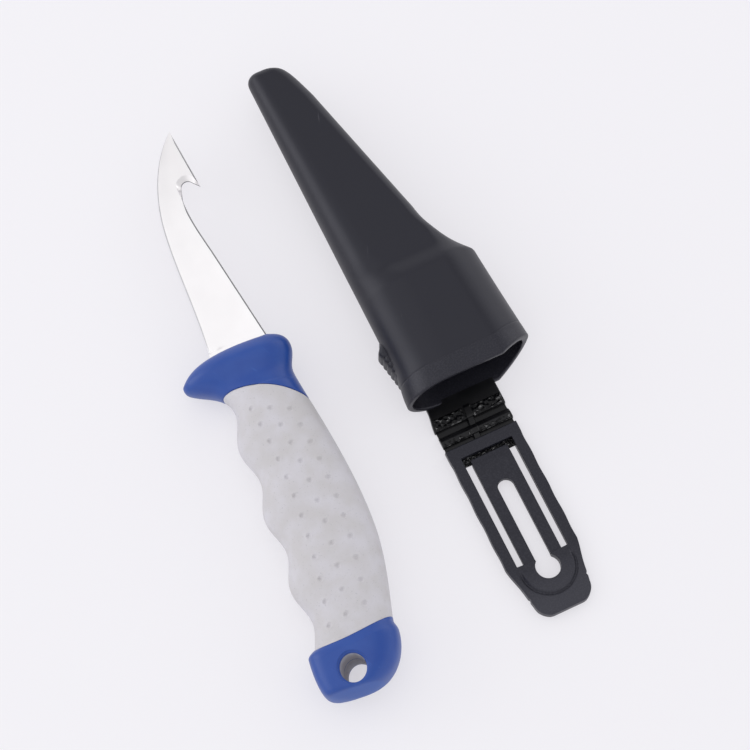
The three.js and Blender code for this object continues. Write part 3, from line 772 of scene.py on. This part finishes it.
def lift(line, height):
    """A flat line raised to a height."""
    return np.column_stack([line, np.broadcast_to(height, len(line))])


edge_line = spread(np.vstack([
    bezier(EDGE_START, (-9.95, 18.2), (-12.6, 33.4), (-12.5, 47.67)),
    bezier((-12.5, 47.67), (-12.4, 60.67), (-8.6, 73.2), TIP),
]), 160)
clip_slope = (TIP[0] - HOOK_TIP[0]) / (TIP[1] - HOOK_TIP[1])
grind_end_y = TIP[1] - 1.0
grind_end = (HOOK_TIP[0] + clip_slope * (grind_end_y - HOOK_TIP[1]), grind_end_y)
grind_line = curve([
    GRIND_START, (-5, 23.8), (-6.8, 47.67), (-5.3, 62.8), (-2.6, 75), grind_end,
], 160)
plunge_line = bezier(PLUNGE_FOOT, (-7.5, 0.5), (-4.6, 0.9), GRIND_START, 15)
clip_low_y = HOOK_TIP[1] + 0.5
clip_low = (HOOK_TIP[0] + clip_slope * (clip_low_y - HOOK_TIP[1]), clip_low_y)
clip_line = spread([clip_low, grind_end], 60)
back_line = np.vstack([
    spread([(BLADE_SPINE, BLADE_ROOT_Y), (BLADE_SPINE, 0)], 6)[:-1],
    spread([(BLADE_SPINE, 0), (1.2, 34)], 40)[:-1],
    spread(bezier((1.2, 34), (-0.6, 40.5), (-3.1, 48), HOOK_ROOT), 50),
])
notch_line = spread(np.vstack([
    [HOOK_ROOT], arc(*NOTCH, NOTCH_RADIUS, 180, 45), [HOOK_TIP],
]), 120)
bevel_line = np.vstack([
    curve([
        HOOK_ROOT, (-4.1, 59), (-4.2, 61.5), (-2.9, 63.1), (-0.7, 63.85), (1.6, 62.7), (2.75, 60.9),
        clip_low,
    ], 119),
    [clip_low],
])
grind_to_edge = edge_line - grind_line
bevel_share = BEVEL_WIDTH / np.maximum(np.linalg.norm(grind_to_edge, axis=1), 2.5 * BEVEL_WIDTH)
bevel_top = edge_line - grind_to_edge * bevel_share[:, None]
grind_drop = GRIND_HOLLOW * np.linalg.norm(bevel_top - grind_line, axis=1) ** 2
bevel_half = np.maximum(BLADE_HALF - grind_drop, BEVEL_HALF)
grind_share = np.linspace(0, 1, 14)[:, None]
grind_flat = grind_line + (bevel_top - grind_line) * grind_share[..., None]
grind_half = BLADE_HALF - (BLADE_HALF - bevel_half) * grind_share**2
grind_rows = np.concatenate([grind_flat, grind_half[..., None]], -1)
back_chamfer = SPINE_CHAMFER * smooth(back_line[:, 1], BLADE_ROOT_Y, -1)
back_chamfer = back_chamfer * (1 - smooth(back_line[:, 1], 50, 55.9))
clip_chamfer = SPINE_CHAMFER * smooth(clip_line[:, 1], clip_low_y, clip_low_y + 3)
clip_chamfer = clip_chamfer * (1 - smooth(clip_line[:, 1], grind_end_y - 5, grind_end_y))


def inward(line, depth):
    """A line moved by depth to the left of its own direction."""
    run = np.gradient(line, axis=0)
    run = run / np.linalg.norm(run, axis=1)[:, None]
    return line + depth[:, None] * np.stack([-run[:, 1], run[:, 0]], -1)


back_high = inward(back_line, back_chamfer)
clip_high = inward(clip_line, clip_chamfer)


def sheet_faces(rows):
    """Points and four-sided faces of a grid of rows, each a line of points."""
    count, across = rows.shape[:2]
    index = np.arange(count * across).reshape(count, across)
    quads = np.stack([index[:-1, :-1], index[:-1, 1:], index[1:, 1:], index[1:, :-1]], -1)
    return rows.reshape(-1, 3), quads.reshape(-1, 4)


def blade_face(side, hook, clip, back):
    """One face of the blade: the flat as one polygon, the plunge, the grind, the edge bevel."""
    flat = np.vstack([
        [(BLADE_HEEL, BLADE_ROOT_Y)], plunge_line, grind_line[1:], clip[-2::-1], hook[-2::-1], back[-2::-1],
    ])
    mirror = np.array([1, 1, side])
    edge = lift(edge_line, EDGE_HALF)
    heel = np.vstack([edge[:1], grind_rows[::-1, 0]])
    sheets = [
        np.stack([lift(plunge_line, BLADE_HALF), heel]),
        grind_rows,
        np.stack([grind_rows[-1], edge]),
    ]
    return lift(flat, side * BLADE_HALF), [sheet * mirror for sheet in sheets]


upper_flat, upper_sheets = blade_face(1, bevel_line, clip_high, back_high)
lower_flat, lower_sheets = blade_face(-1, notch_line, np.vstack([[HOOK_TIP], clip_line]), back_line)
notch_fall = smooth(np.arange(len(notch_line)), 0, 26)
notch_high = HOOK_LOW + (BLADE_HALF - HOOK_LOW) * (1 - notch_fall)
clip_wall = np.vstack([[HOOK_TIP], clip_line, [TIP]])
heel_line = np.array([(BLADE_HEEL, BLADE_ROOT_Y), PLUNGE_FOOT, EDGE_START])
heel_half = np.array([BLADE_HALF, BLADE_HALF, EDGE_HALF])
root_line = np.array([(BLADE_HEEL, BLADE_ROOT_Y), (BLADE_SPINE, BLADE_ROOT_Y)])
blade_walls = [
    np.stack([lift(bevel_line, BLADE_HALF), lift(notch_line, notch_high)]),
    np.stack([lift(notch_line, notch_high), lift(notch_line, -BLADE_HALF)]),
    np.stack([lift(back_high, BLADE_HALF), lift(back_line, BLADE_HALF - back_chamfer)]),
    np.stack([lift(back_line, BLADE_HALF - back_chamfer), lift(back_line, -BLADE_HALF)]),
    np.stack([lift(clip_high, BLADE_HALF), lift(clip_line, BLADE_HALF - clip_chamfer)]),
    np.stack([
        lift(clip_wall, np.r_[HOOK_LOW, BLADE_HALF - clip_chamfer, EDGE_HALF]),
        lift(clip_wall, np.r_[np.full(len(clip_line) + 1, -BLADE_HALF), -EDGE_HALF]),
    ]),
    np.stack([lift(edge_line, EDGE_HALF), lift(edge_line, -EDGE_HALF)]),
    np.stack([lift(heel_line, heel_half), lift(heel_line, -heel_half)]),
    np.stack([lift(root_line, BLADE_HALF), lift(root_line, -BLADE_HALF)]),
]
blade_points = [upper_flat, lower_flat]
upper_count, lower_count = len(upper_flat), len(lower_flat)
blade_faces = [list(range(upper_count)), list(range(upper_count, upper_count + lower_count))]
blade_finishes = [GROUND, GROUND]
face_finishes = [GROUND, GROUND, HONED]
sheet_finishes = face_finishes * 2 + [GROUND] + [BARE] * (len(blade_walls) - 1)
for sheet, number in zip(upper_sheets + lower_sheets + blade_walls, sheet_finishes):
    start_index = sum(len(p) for p in blade_points)
    sheet_points, sheet_quads = sheet_faces(sheet)
    blade_points.append(sheet_points)
    blade_faces += (start_index + sheet_quads).tolist()
    blade_finishes += [number] * len(sheet_quads)
blade_at = on_knife(np.vstack(blade_points))
blade_piece = shape("blade_steel_skin", blade_at, blade_faces, 12, blade_finishes)
blade_work = bmesh.new()
blade_work.from_mesh(blade_piece.data)
bmesh.ops.recalc_face_normals(blade_work, faces=blade_work.faces)
blade_work.to_mesh(blade_piece.data)
blade_work.free()


def ground_steel(start):
    """Satin stainless: fine lines across the blade from the belt, soft cloudy gloss."""
    lines = start.grain(0.09, stretch=(90, 1, 1), turn=KNIFE_TURN, detail=2.0)
    cloud = start.grain(18)
    return {
        "Base Color": cloud.ramp(0.3, 0.75).tint((0.905, 0.885, 0.888), (0.955, 0.935, 0.938)),
        "Metallic": 1.0,
        "Roughness": 0.26 + 0.1 * lines + 0.05 * cloud,
        "Normal": lines.bump(0.12, 0.01),
    }


def bare_shaded_steel(start):
    """Blanked spine and walls: the same steel, unpolished, and darker in colour, which partly paints the
    dark reflection along the spine.
    """
    return {
        # Dark base colour: partly unpolished steel, partly a painted dark reflection along the spine and
        # edges.
        "Base Color": start.grain(1.5).tint((0.2, 0.2, 0.21), (0.34, 0.34, 0.35)),
        "Metallic": 1.0,
        "Roughness": 0.4,
    }


def honed_steel(start):
    """Sharpened edge: the same steel, greyer than the faces."""
    return {
        "Base Color": start.grain(3).tint((0.42, 0.42, 0.43), (0.66, 0.66, 0.67)),
        "Metallic": 1.0,
        "Roughness": 0.3,
    }


join(blade_piece, finish("ground_steel", ground_steel), "blade_steel", "knife", "blade")
blade_piece.data.materials.append(finish("bare_shaded_steel", bare_shaded_steel))
blade_piece.data.materials.append(finish("honed_steel", honed_steel))


# Guard: the front of the blue polypropylene core, moulded round the tang. It swells into
# a finger lobe on the edge side, and the grey grip overlaps it along a slanted line.
NOSE_Y = 0.2
NOSE_X = 10.0
GUARD_DEPTH = -22.5
FINGER_PITCH = 24.5
FINGER_DEPTH = 3.0
FINGER_START = -8.6
FINGER_SLOPE = 0.062
POMMEL_TOP_Y = -104.3
BUTT_Y = -122.5
GRIP_HALF = 9.5
WAVE_START_Y = -18.6
TUCK = 2.5


def finger_wave(y):
    """Edge side of the grip: a cosine of finger pitch on a slight slope."""
    run = GUARD_DEPTH - y
    wave = FINGER_DEPTH / 2 * np.cos(2 * np.pi * run / FINGER_PITCH)
    return FINGER_START + FINGER_SLOPE * run + wave


wave_y = np.linspace(WAVE_START_Y, POMMEL_TOP_Y, 160)
wave_end = (finger_wave(POMMEL_TOP_Y), POMMEL_TOP_Y)
handle_left = np.vstack([
    bezier((NOSE_X, NOSE_Y), (-5, -0.6), (-16, -0.6), (-21, -8.2), 60),
    bezier((-21, -8.2), (-21, -9.2), (-20.7, -9.9), (-20.2, -10.3), 12),
    bezier((-20.2, -10.3), (-17, -12.6), (-11, -13.6), (finger_wave(WAVE_START_Y), WAVE_START_Y)),
    np.stack([finger_wave(wave_y), wave_y], -1),
    bezier(wave_end, (-5.4, -105.3), (-6.8, -106.3), (-6.8, -107.3), 16),
    bezier((-6.8, -107.3), (-6.9, -112), (-6.4, -116.5), (-5.4, -119.2), 40),
    bezier((-5.4, -119.2), (-4.5, -121.3), (-1, BUTT_Y), (6, BUTT_Y), 60),
])
handle_right = np.vstack([
    bezier((NOSE_X, NOSE_Y), (14, NOSE_Y), (16.6, -2), (16.6, -5.4)),
    bezier((16.6, -5.4), (16.6, -8.5), (14.7, -10.5), (14.8, -13.6)),
    bezier((14.8, -13.6), (15, -19), (25.2, -50.5), (25.2, -74.5), 80),
    bezier((25.2, -74.5), (25.2, -85.5), (22.5, -96.3), (21.7, -102.8)),
    bezier((21.7, -102.8), (21.9, -104), (22.5, -104.8), (22.5, -105.8), 16),
    bezier((22.5, -105.8), (22.5, -112.5), (18, BUTT_Y), (6, BUTT_Y), 60),
])
handle_thick = curve([
    (0.2, 2.6), (-1.3, 5.6), (-4.2, 8.2), (-7.5, 8.88), (-12.5, 8.1), (-17, 8.8), (-22.5, 9.4),
    (-63.4, GRIP_HALF), (-88, GRIP_HALF), (-100, 9.3), (POMMEL_TOP_Y, 9.15), (-110, 9.1), (BUTT_Y, 9),
], 400)


def handle_at(turn, y, inset=0.0, sink=0.0, over=handle_thick, under=handle_thick):
    """Points of the handle at angle turn and height y, drawn in all round or sunk in depth.

    Each section is a superellipse between the two outlines, with its half depths read from
    the tables over and under. On the pommel it is squarer, and squarest on the finger side.
    """
    left = np.interp(-y, -handle_left[:, 1], handle_left[:, 0]) + inset
    right = np.interp(-y, -handle_right[:, 1], handle_right[:, 0]) - inset
    right = np.maximum(right, left + 1e-4)
    cosine, sine = np.cos(turn), np.sin(turn)
    upper = np.interp(-y, -over[:, 0], over[:, 1])
    lower = np.interp(-y, -under[:, 0], under[:, 1])
    half = np.maximum(np.where(sine > 0, upper, lower) - inset - sink, 1e-4)
    squarer = 0.85 - 0.65 * np.tanh(3 * cosine)
    power = 2 / (2.3 + squarer * smooth(-y, -POMMEL_TOP_Y, -POMMEL_TOP_Y + 3))
    x = (left + right) / 2 + (right - left) / 2 * np.sign(cosine) * np.abs(cosine) ** power
    z = half * np.sign(sine) * np.abs(sine) ** power
    return np.stack([x, np.broadcast_to(y, x.shape), z], -1)


guard_joint = bezier((-12, -16.6), (0, -14.867), (10.667, -18.333), (20, -27))
pommel_joint = bezier((-10, -104.8), (2, -106.667), (14, -105.133), (26, -100.2))


def joint_height(turn, joint):
    """Height at which each line along the handle meets a joint line, by fixed-point steps."""
    y = np.full(turn.shape, joint[:, 1].mean())
    for _ in range(30):
        x = handle_at(turn, y)[..., 0]
        y = 0.5 * y + 0.5 * np.interp(x, joint[:, 0], joint[:, 1])
    return y


def around(count):
    """One row of angles that go once round a section, without the closing one."""
    return np.linspace(0, 2 * np.pi, count, endpoint=False)[None, :]


guard_turn = around(240)
guard_end = joint_height(guard_turn, guard_joint)
guard_run = 1 - np.cos(np.linspace(0, np.pi / 2, 90))[:, None]
guard_y = NOSE_Y + (guard_end + 0.3 - NOSE_Y) * guard_run
guard_rings = np.concatenate([
    handle_at(guard_turn, guard_y),
    handle_at(guard_turn, guard_end + 0.08, 0.1),
    handle_at(guard_turn, guard_end, 0.4),
    handle_at(guard_turn, guard_end, TUCK),
])
guard = surface("guard_skin", on_knife(guard_rings), crease=50)


def satin_blue(start):
    """Blue polypropylene: fine spark texture, slow clouds of gloss, faint handling rubs, and a paler butt
    end wall that is partly wear and partly painted light from the front.
    """
    spark = start.grain(0.4)
    cloud = start.grain(9)
    rub_and_end_light = start.grain(0.9, stretch=(1, 9, 1), turn=0.5, detail=4.0).ramp(0.64, 0.8)
    run = sum(share * start.along(axis) for share, axis in zip(knife_axes[:, 1], "XYZ"))
    butt = knife_origin @ knife_axes[:, 1] + BUTT_Y
    # Paler butt end wall: partly real wear, partly a painted highlight of the light from the front.
    worn_and_lit_end = 1 - run.ramp(butt + 1.5, butt + 1.9)
    rub_and_end_light = rub_and_end_light + worn_and_lit_end * (0.5 + 0.5 * start.grain(0.5).ramp(0.5, 0.7))
    return {
        "Base Color": (0.5 * cloud + 0.5 * rub_and_end_light).tint((0.004, 0.042, 0.268), (0.03, 0.11, 0.41)),
        "Roughness": 0.32 + 0.12 * cloud + 0.12 * rub_and_end_light,
        "Normal": (spark + 0.3 * cloud).bump(0.3, 0.03),
    }


blue_moulding = finish("blue_moulding", satin_blue)
join(guard, blue_moulding, "blue_plastic", "knife", "handle_core")


# Pommel: the other end of the blue core, which swells past the grip behind a chamfered
# shoulder. An oval lanyard hole goes through it.
POMMEL_CHAMFER = 3.0
CHAMFER_DROP = 1.05
LANYARD_X = 4.2
LANYARD_Y = 4.6
HOLE_ROUND = 0.7

pommel_over = np.array([
    (-99, 10.05), (-116, 10.05), (-119.6, 10), (-120.2, 9.85), (-120.6, 9.5), (-120.85, 8.9),
    (-121.3, 7), (-121.8, 4.8), (-122.25, 2.4), (BUTT_Y, 0.8),
])
pommel_under = np.array([
    (-99, 10), (-112, 10), (-116, 9.4), (-118.5, 8.2), (-120.2, 6.6), (-121.5, 4.2),
    (-122.2, 2), (BUTT_Y, 0.6),
])
pommel_turn = around(240)
pommel_start = joint_height(pommel_turn, pommel_joint)
pommel_run = 1 - (1 - np.linspace(0, 1, 110)[:, None]) ** 1.5
pommel_y = pommel_start + (BUTT_Y + 0.03 - pommel_start) * pommel_run
pommel_sink = CHAMFER_DROP * np.clip(1 - (pommel_start - pommel_y) / POMMEL_CHAMFER, 0, 1)
pommel_rings = np.concatenate([
    handle_at(pommel_turn, pommel_start, TUCK),
    handle_at(pommel_turn, pommel_y, 0, pommel_sink, pommel_over, pommel_under),
])
pommel = surface("pommel_skin", on_knife(pommel_rings), crease=50)
oval = around(96)


def oval_rings(height, grow):
    """Ovals round the lanyard hole's axis at each height, grown outward by grow."""
    height, grow = height[:, None], grow[:, None]
    x = LANYARD[0] + (LANYARD_X + grow) * np.cos(oval)
    y = LANYARD[1] + (LANYARD_Y + grow) * np.sin(oval)
    return np.stack([x, y, np.broadcast_to(height, x.shape)], -1)


flare = np.linspace(0, np.pi / 2, 8)
flare_high = GRIP_HALF - HOLE_ROUND + 0.25 + HOLE_ROUND * np.sin(flare)
flare_grow = HOLE_ROUND * (1 - np.cos(flare))
cutter_height = np.concatenate([[-12], -flare_high[::-1], flare_high, [12]])
mouth_grow = [HOLE_ROUND + 0.4]
cutter_grow = np.concatenate([mouth_grow, flare_grow[::-1], flare_grow, mouth_grow]) + 0.02
cutter = surface("lanyard_cutter", on_knife(oval_rings(cutter_height, cutter_grow)))
hole = pommel.modifiers.new("lanyard_hole", "BOOLEAN")
hole.object = cutter
hole.solver = "EXACT"
drilled = bpy.data.meshes.new_from_object(pommel.evaluated_get(bpy.context.evaluated_depsgraph_get()))
pommel.modifiers.clear()
pommel.data = drilled
bpy.data.objects.remove(cutter)
drilled.set_sharp_from_angle(angle=math.radians(14))
join(pommel, blue_moulding, "blue_plastic", "knife", "handle_core")


# Lanyard liner: a sleeve of the grip's grey rubber that lines the hole. The two halves of
# the mould meet at mid depth in a thin groove.
LINER_HALF = 8.4
LINER_WALL = 1.2
LINER_SINK = 1.3

liner_half_z = np.linspace(0.5, LINER_HALF, 16)
liner_z = np.concatenate([-liner_half_z[::-1], np.linspace(-0.4, 0.4, 17), liner_half_z])
liner_groove = 0.3 * np.exp(-((liner_z / 0.16) ** 2))
liner_profile_z = np.concatenate([liner_z, liner_z[::-1]])
liner_profile_grow = np.concatenate([liner_groove, np.full(liner_z.shape, LINER_WALL)])
liner_rings = oval_rings(liner_profile_z, liner_profile_grow)
liner_floor = LINER_SINK - np.interp(-liner_rings[..., 1], -pommel_under[:, 0], pommel_under[:, 1])
liner_rings[..., 2] = np.maximum(liner_rings[..., 2], liner_floor)
liner = surface("lanyard_sleeve", on_knife(liner_rings), loop=True, crease=50)


def soft_grey(start):
    """Moulded rubber: matt light grey, fine dark and pale specks, faint smudges of use."""
    fine = start.grain(0.3, detail=2.0)
    speck = start.grain(0.55, detail=1.0)
    smudge = start.grain(7, detail=4.0)
    dark = speck.ramp(0.66, 0.74)
    colour = smudge.ramp(0.3, 0.75).tint((0.55, 0.532, 0.545), (0.605, 0.59, 0.63))
    colour = start.node("ShaderNodeMix", {"data_type": "RGBA"}, {
        0: dark * 0.35, 6: colour, 7: (0.34, 0.34, 0.36, 1),
    }, out=2)
    return {
        "Base Color": colour,
        "Roughness": 0.62 + 0.16 * smudge,
        "Normal": (fine + 0.5 * speck).bump(0.4, 0.05),
    }


grey_rubber = finish("grey_rubber_skin", soft_grey)
join(liner, grey_rubber, "grey_rubber", "knife", "lanyard_liner")


# Grip: a soft rubber sleeve moulded over the core, with finger grooves along the edge
# side and three rows of shallow dimples on each face.
DIMPLE_RADIUS = 0.9
DIMPLE_DEPTH = 0.48
DIMPLE_RIM = 0.12
DIMPLE_ROWS = (
    ((-0.6, -24.6), (5.1, -74.9), (3.1, -99.9), 12),
    ((5.3, -26.7), (11.4, -75.9), (9.2, -98.4), 11),
    ((11.1, -28.8), (17.4, -75.4), (15.5, -96.7), 11),
)

grip_turn = around(272)
grip_top = joint_height(grip_turn, guard_joint) - 0.06
grip_end = joint_height(grip_turn, pommel_joint) + 0.02
grip_run = np.linspace(0, 1, 330)[:, None]
grip_y = grip_top + (grip_end - grip_top) * grip_run
grip_lip = 0.35 * np.exp((grip_y - grip_top) / 0.25) + 0.05 * np.exp((grip_end - grip_y) / 0.25)
grip_skin = handle_at(grip_turn, grip_y, grip_lip)
bowls = np.zeros(grip_skin.shape[:2])
for first, middle, last, count in DIMPLE_ROWS:
    bend = np.polyfit([first[1], middle[1], last[1]], [first[0], middle[0], last[0]], 2)
    t = np.linspace(0, 1, count)
    dimple_y = first[1] + (last[1] - first[1]) * (0.9 * t + 0.1 * t * t)
    dimple_x = np.polyval(bend, dimple_y)
    away = np.hypot(grip_skin[..., 0, None] - dimple_x, grip_skin[..., 1, None] - dimple_y).min(-1)
    bowls += DIMPLE_DEPTH * np.clip(1 - (away / DIMPLE_RADIUS) ** 2, 0, 1)
    bowls -= DIMPLE_RIM * np.exp(-(((away - DIMPLE_RADIUS - 0.15) / 0.3) ** 2))
grip_skin[..., 2] -= np.sign(grip_skin[..., 2]) * bowls
grip_rings = np.concatenate([
    handle_at(grip_turn, grip_top, TUCK), grip_skin, handle_at(grip_turn, grip_end, TUCK),
])
grip = surface("grip_sleeve", on_knife(grip_rings), crease=50)
join(grip, grey_rubber, "grey_rubber", "knife", "grip")


# Studio: a pale seamless table under broad soft light. The camera looks down at the set
# from in front, turned as the set lies in the photograph.
FLOOR_HALF = 3.0
FLOOR_Z = -0.0003
CAMERA_AT = np.array([-127.33, -239.26, 766.2])
CAMERA_TO = np.array([-4.0, 19.3, 0.0])
VIEW_TURN = math.radians(25.5)

floor_mesh = bpy.data.meshes.new("table")
floor_mesh.from_pydata(
    [(x * FLOOR_HALF, y * FLOOR_HALF, FLOOR_Z) for x, y in ((-1, -1), (1, -1), (1, 1), (-1, 1))],
    [], [(0, 1, 2, 3)],
)
floor = bpy.data.objects.new("table", floor_mesh)
bpy.context.scene.collection.objects.link(floor)
table_paper = bpy.data.materials.new("table_paper")
table_paper.use_nodes = True
table_paper.node_tree.nodes.clear()
paper = Wire(table_paper.node_tree)
camera_ray = paper.node("ShaderNodeLightPath", {}, {}, out="Is Camera Ray")
glossy_ray = paper.node("ShaderNodeLightPath", {}, {}, out="Is Glossy Ray")
seen = camera_ray.maths("MAXIMUM", camera_ray, glossy_ray)
matt = paper.node("ShaderNodeBsdfDiffuse", {}, {"Color": (0.86, 0.86, 0.88, 1)})
glow = paper.node("ShaderNodeEmission", {}, {"Color": (0.935, 0.915, 0.96, 1), "Strength": 1.0})
mixed = paper.node("ShaderNodeMixShader", {}, {0: seen * 0.6, 1: matt, 2: glow})
paper.node("ShaderNodeOutputMaterial", {}, {"Surface": mixed})
floor_mesh.materials.append(table_paper)

world = bpy.data.worlds.new("studio")
world.use_nodes = True
world.node_tree.nodes.clear()
sky = Wire(world.node_tree)
direction = sky.node("ShaderNodeTexCoord", {}, {}, out="Generated")
height = sky.node("ShaderNodeSeparateXYZ", {}, {"Vector": direction}, out="Z")
dome = height.ramp(0.15, 0.85).tint((1.15, 1.15, 1.17), (0.64, 0.64, 0.655))
backdrop = sky.node("ShaderNodeBackground", {}, {"Color": dome, "Strength": 1.0})
sky.node("ShaderNodeOutputWorld", {}, {"Surface": backdrop})
bpy.context.scene.world = world


def softbox(name, place, aim, size, power):
    """A square area lamp at place, turned to face aim, all in metres."""
    lamp = bpy.data.lights.new(name, "AREA")
    lamp.size = size
    lamp.energy = power
    holder = bpy.data.objects.new(name, lamp)
    bpy.context.scene.collection.objects.link(holder)
    holder.location = place
    holder.rotation_euler = (Vector(aim) - Vector(place)).to_track_quat("-Z", "Y").to_euler()


softbox("key_softbox", (-0.3, 0.12, 1.3), (-0.3, 0.12, 0), 1.4, 3.1)
softbox("left_softbox", (-1.0, 0.6, 0.4), (0, 0, 0), 0.8, 2.8)
softbox("right_softbox", (1.0, 0.5, 0.45), (0, 0, 0), 0.8, 0.9)

camera = bpy.data.cameras.new("camera")
camera.lens = 120
camera.sensor_width = 36
camera_holder = bpy.data.objects.new("camera", camera)
bpy.context.scene.collection.objects.link(camera_holder)
forward = CAMERA_TO - CAMERA_AT
forward = forward / np.linalg.norm(forward)
right_hand = np.cross(forward, [math.sin(VIEW_TURN), math.cos(VIEW_TURN), 0])
right_hand = right_hand / np.linalg.norm(right_hand)
upward = np.cross(right_hand, forward)
placed = np.eye(4)
placed[:3, :4] = np.column_stack([right_hand, upward, -forward, (CAMERA_AT + sheath_origin) / MM])
camera_holder.matrix_world = Matrix(placed.tolist())
bpy.context.scene.camera = camera_holder
bpy.context.scene.view_settings.view_transform = "Standard"
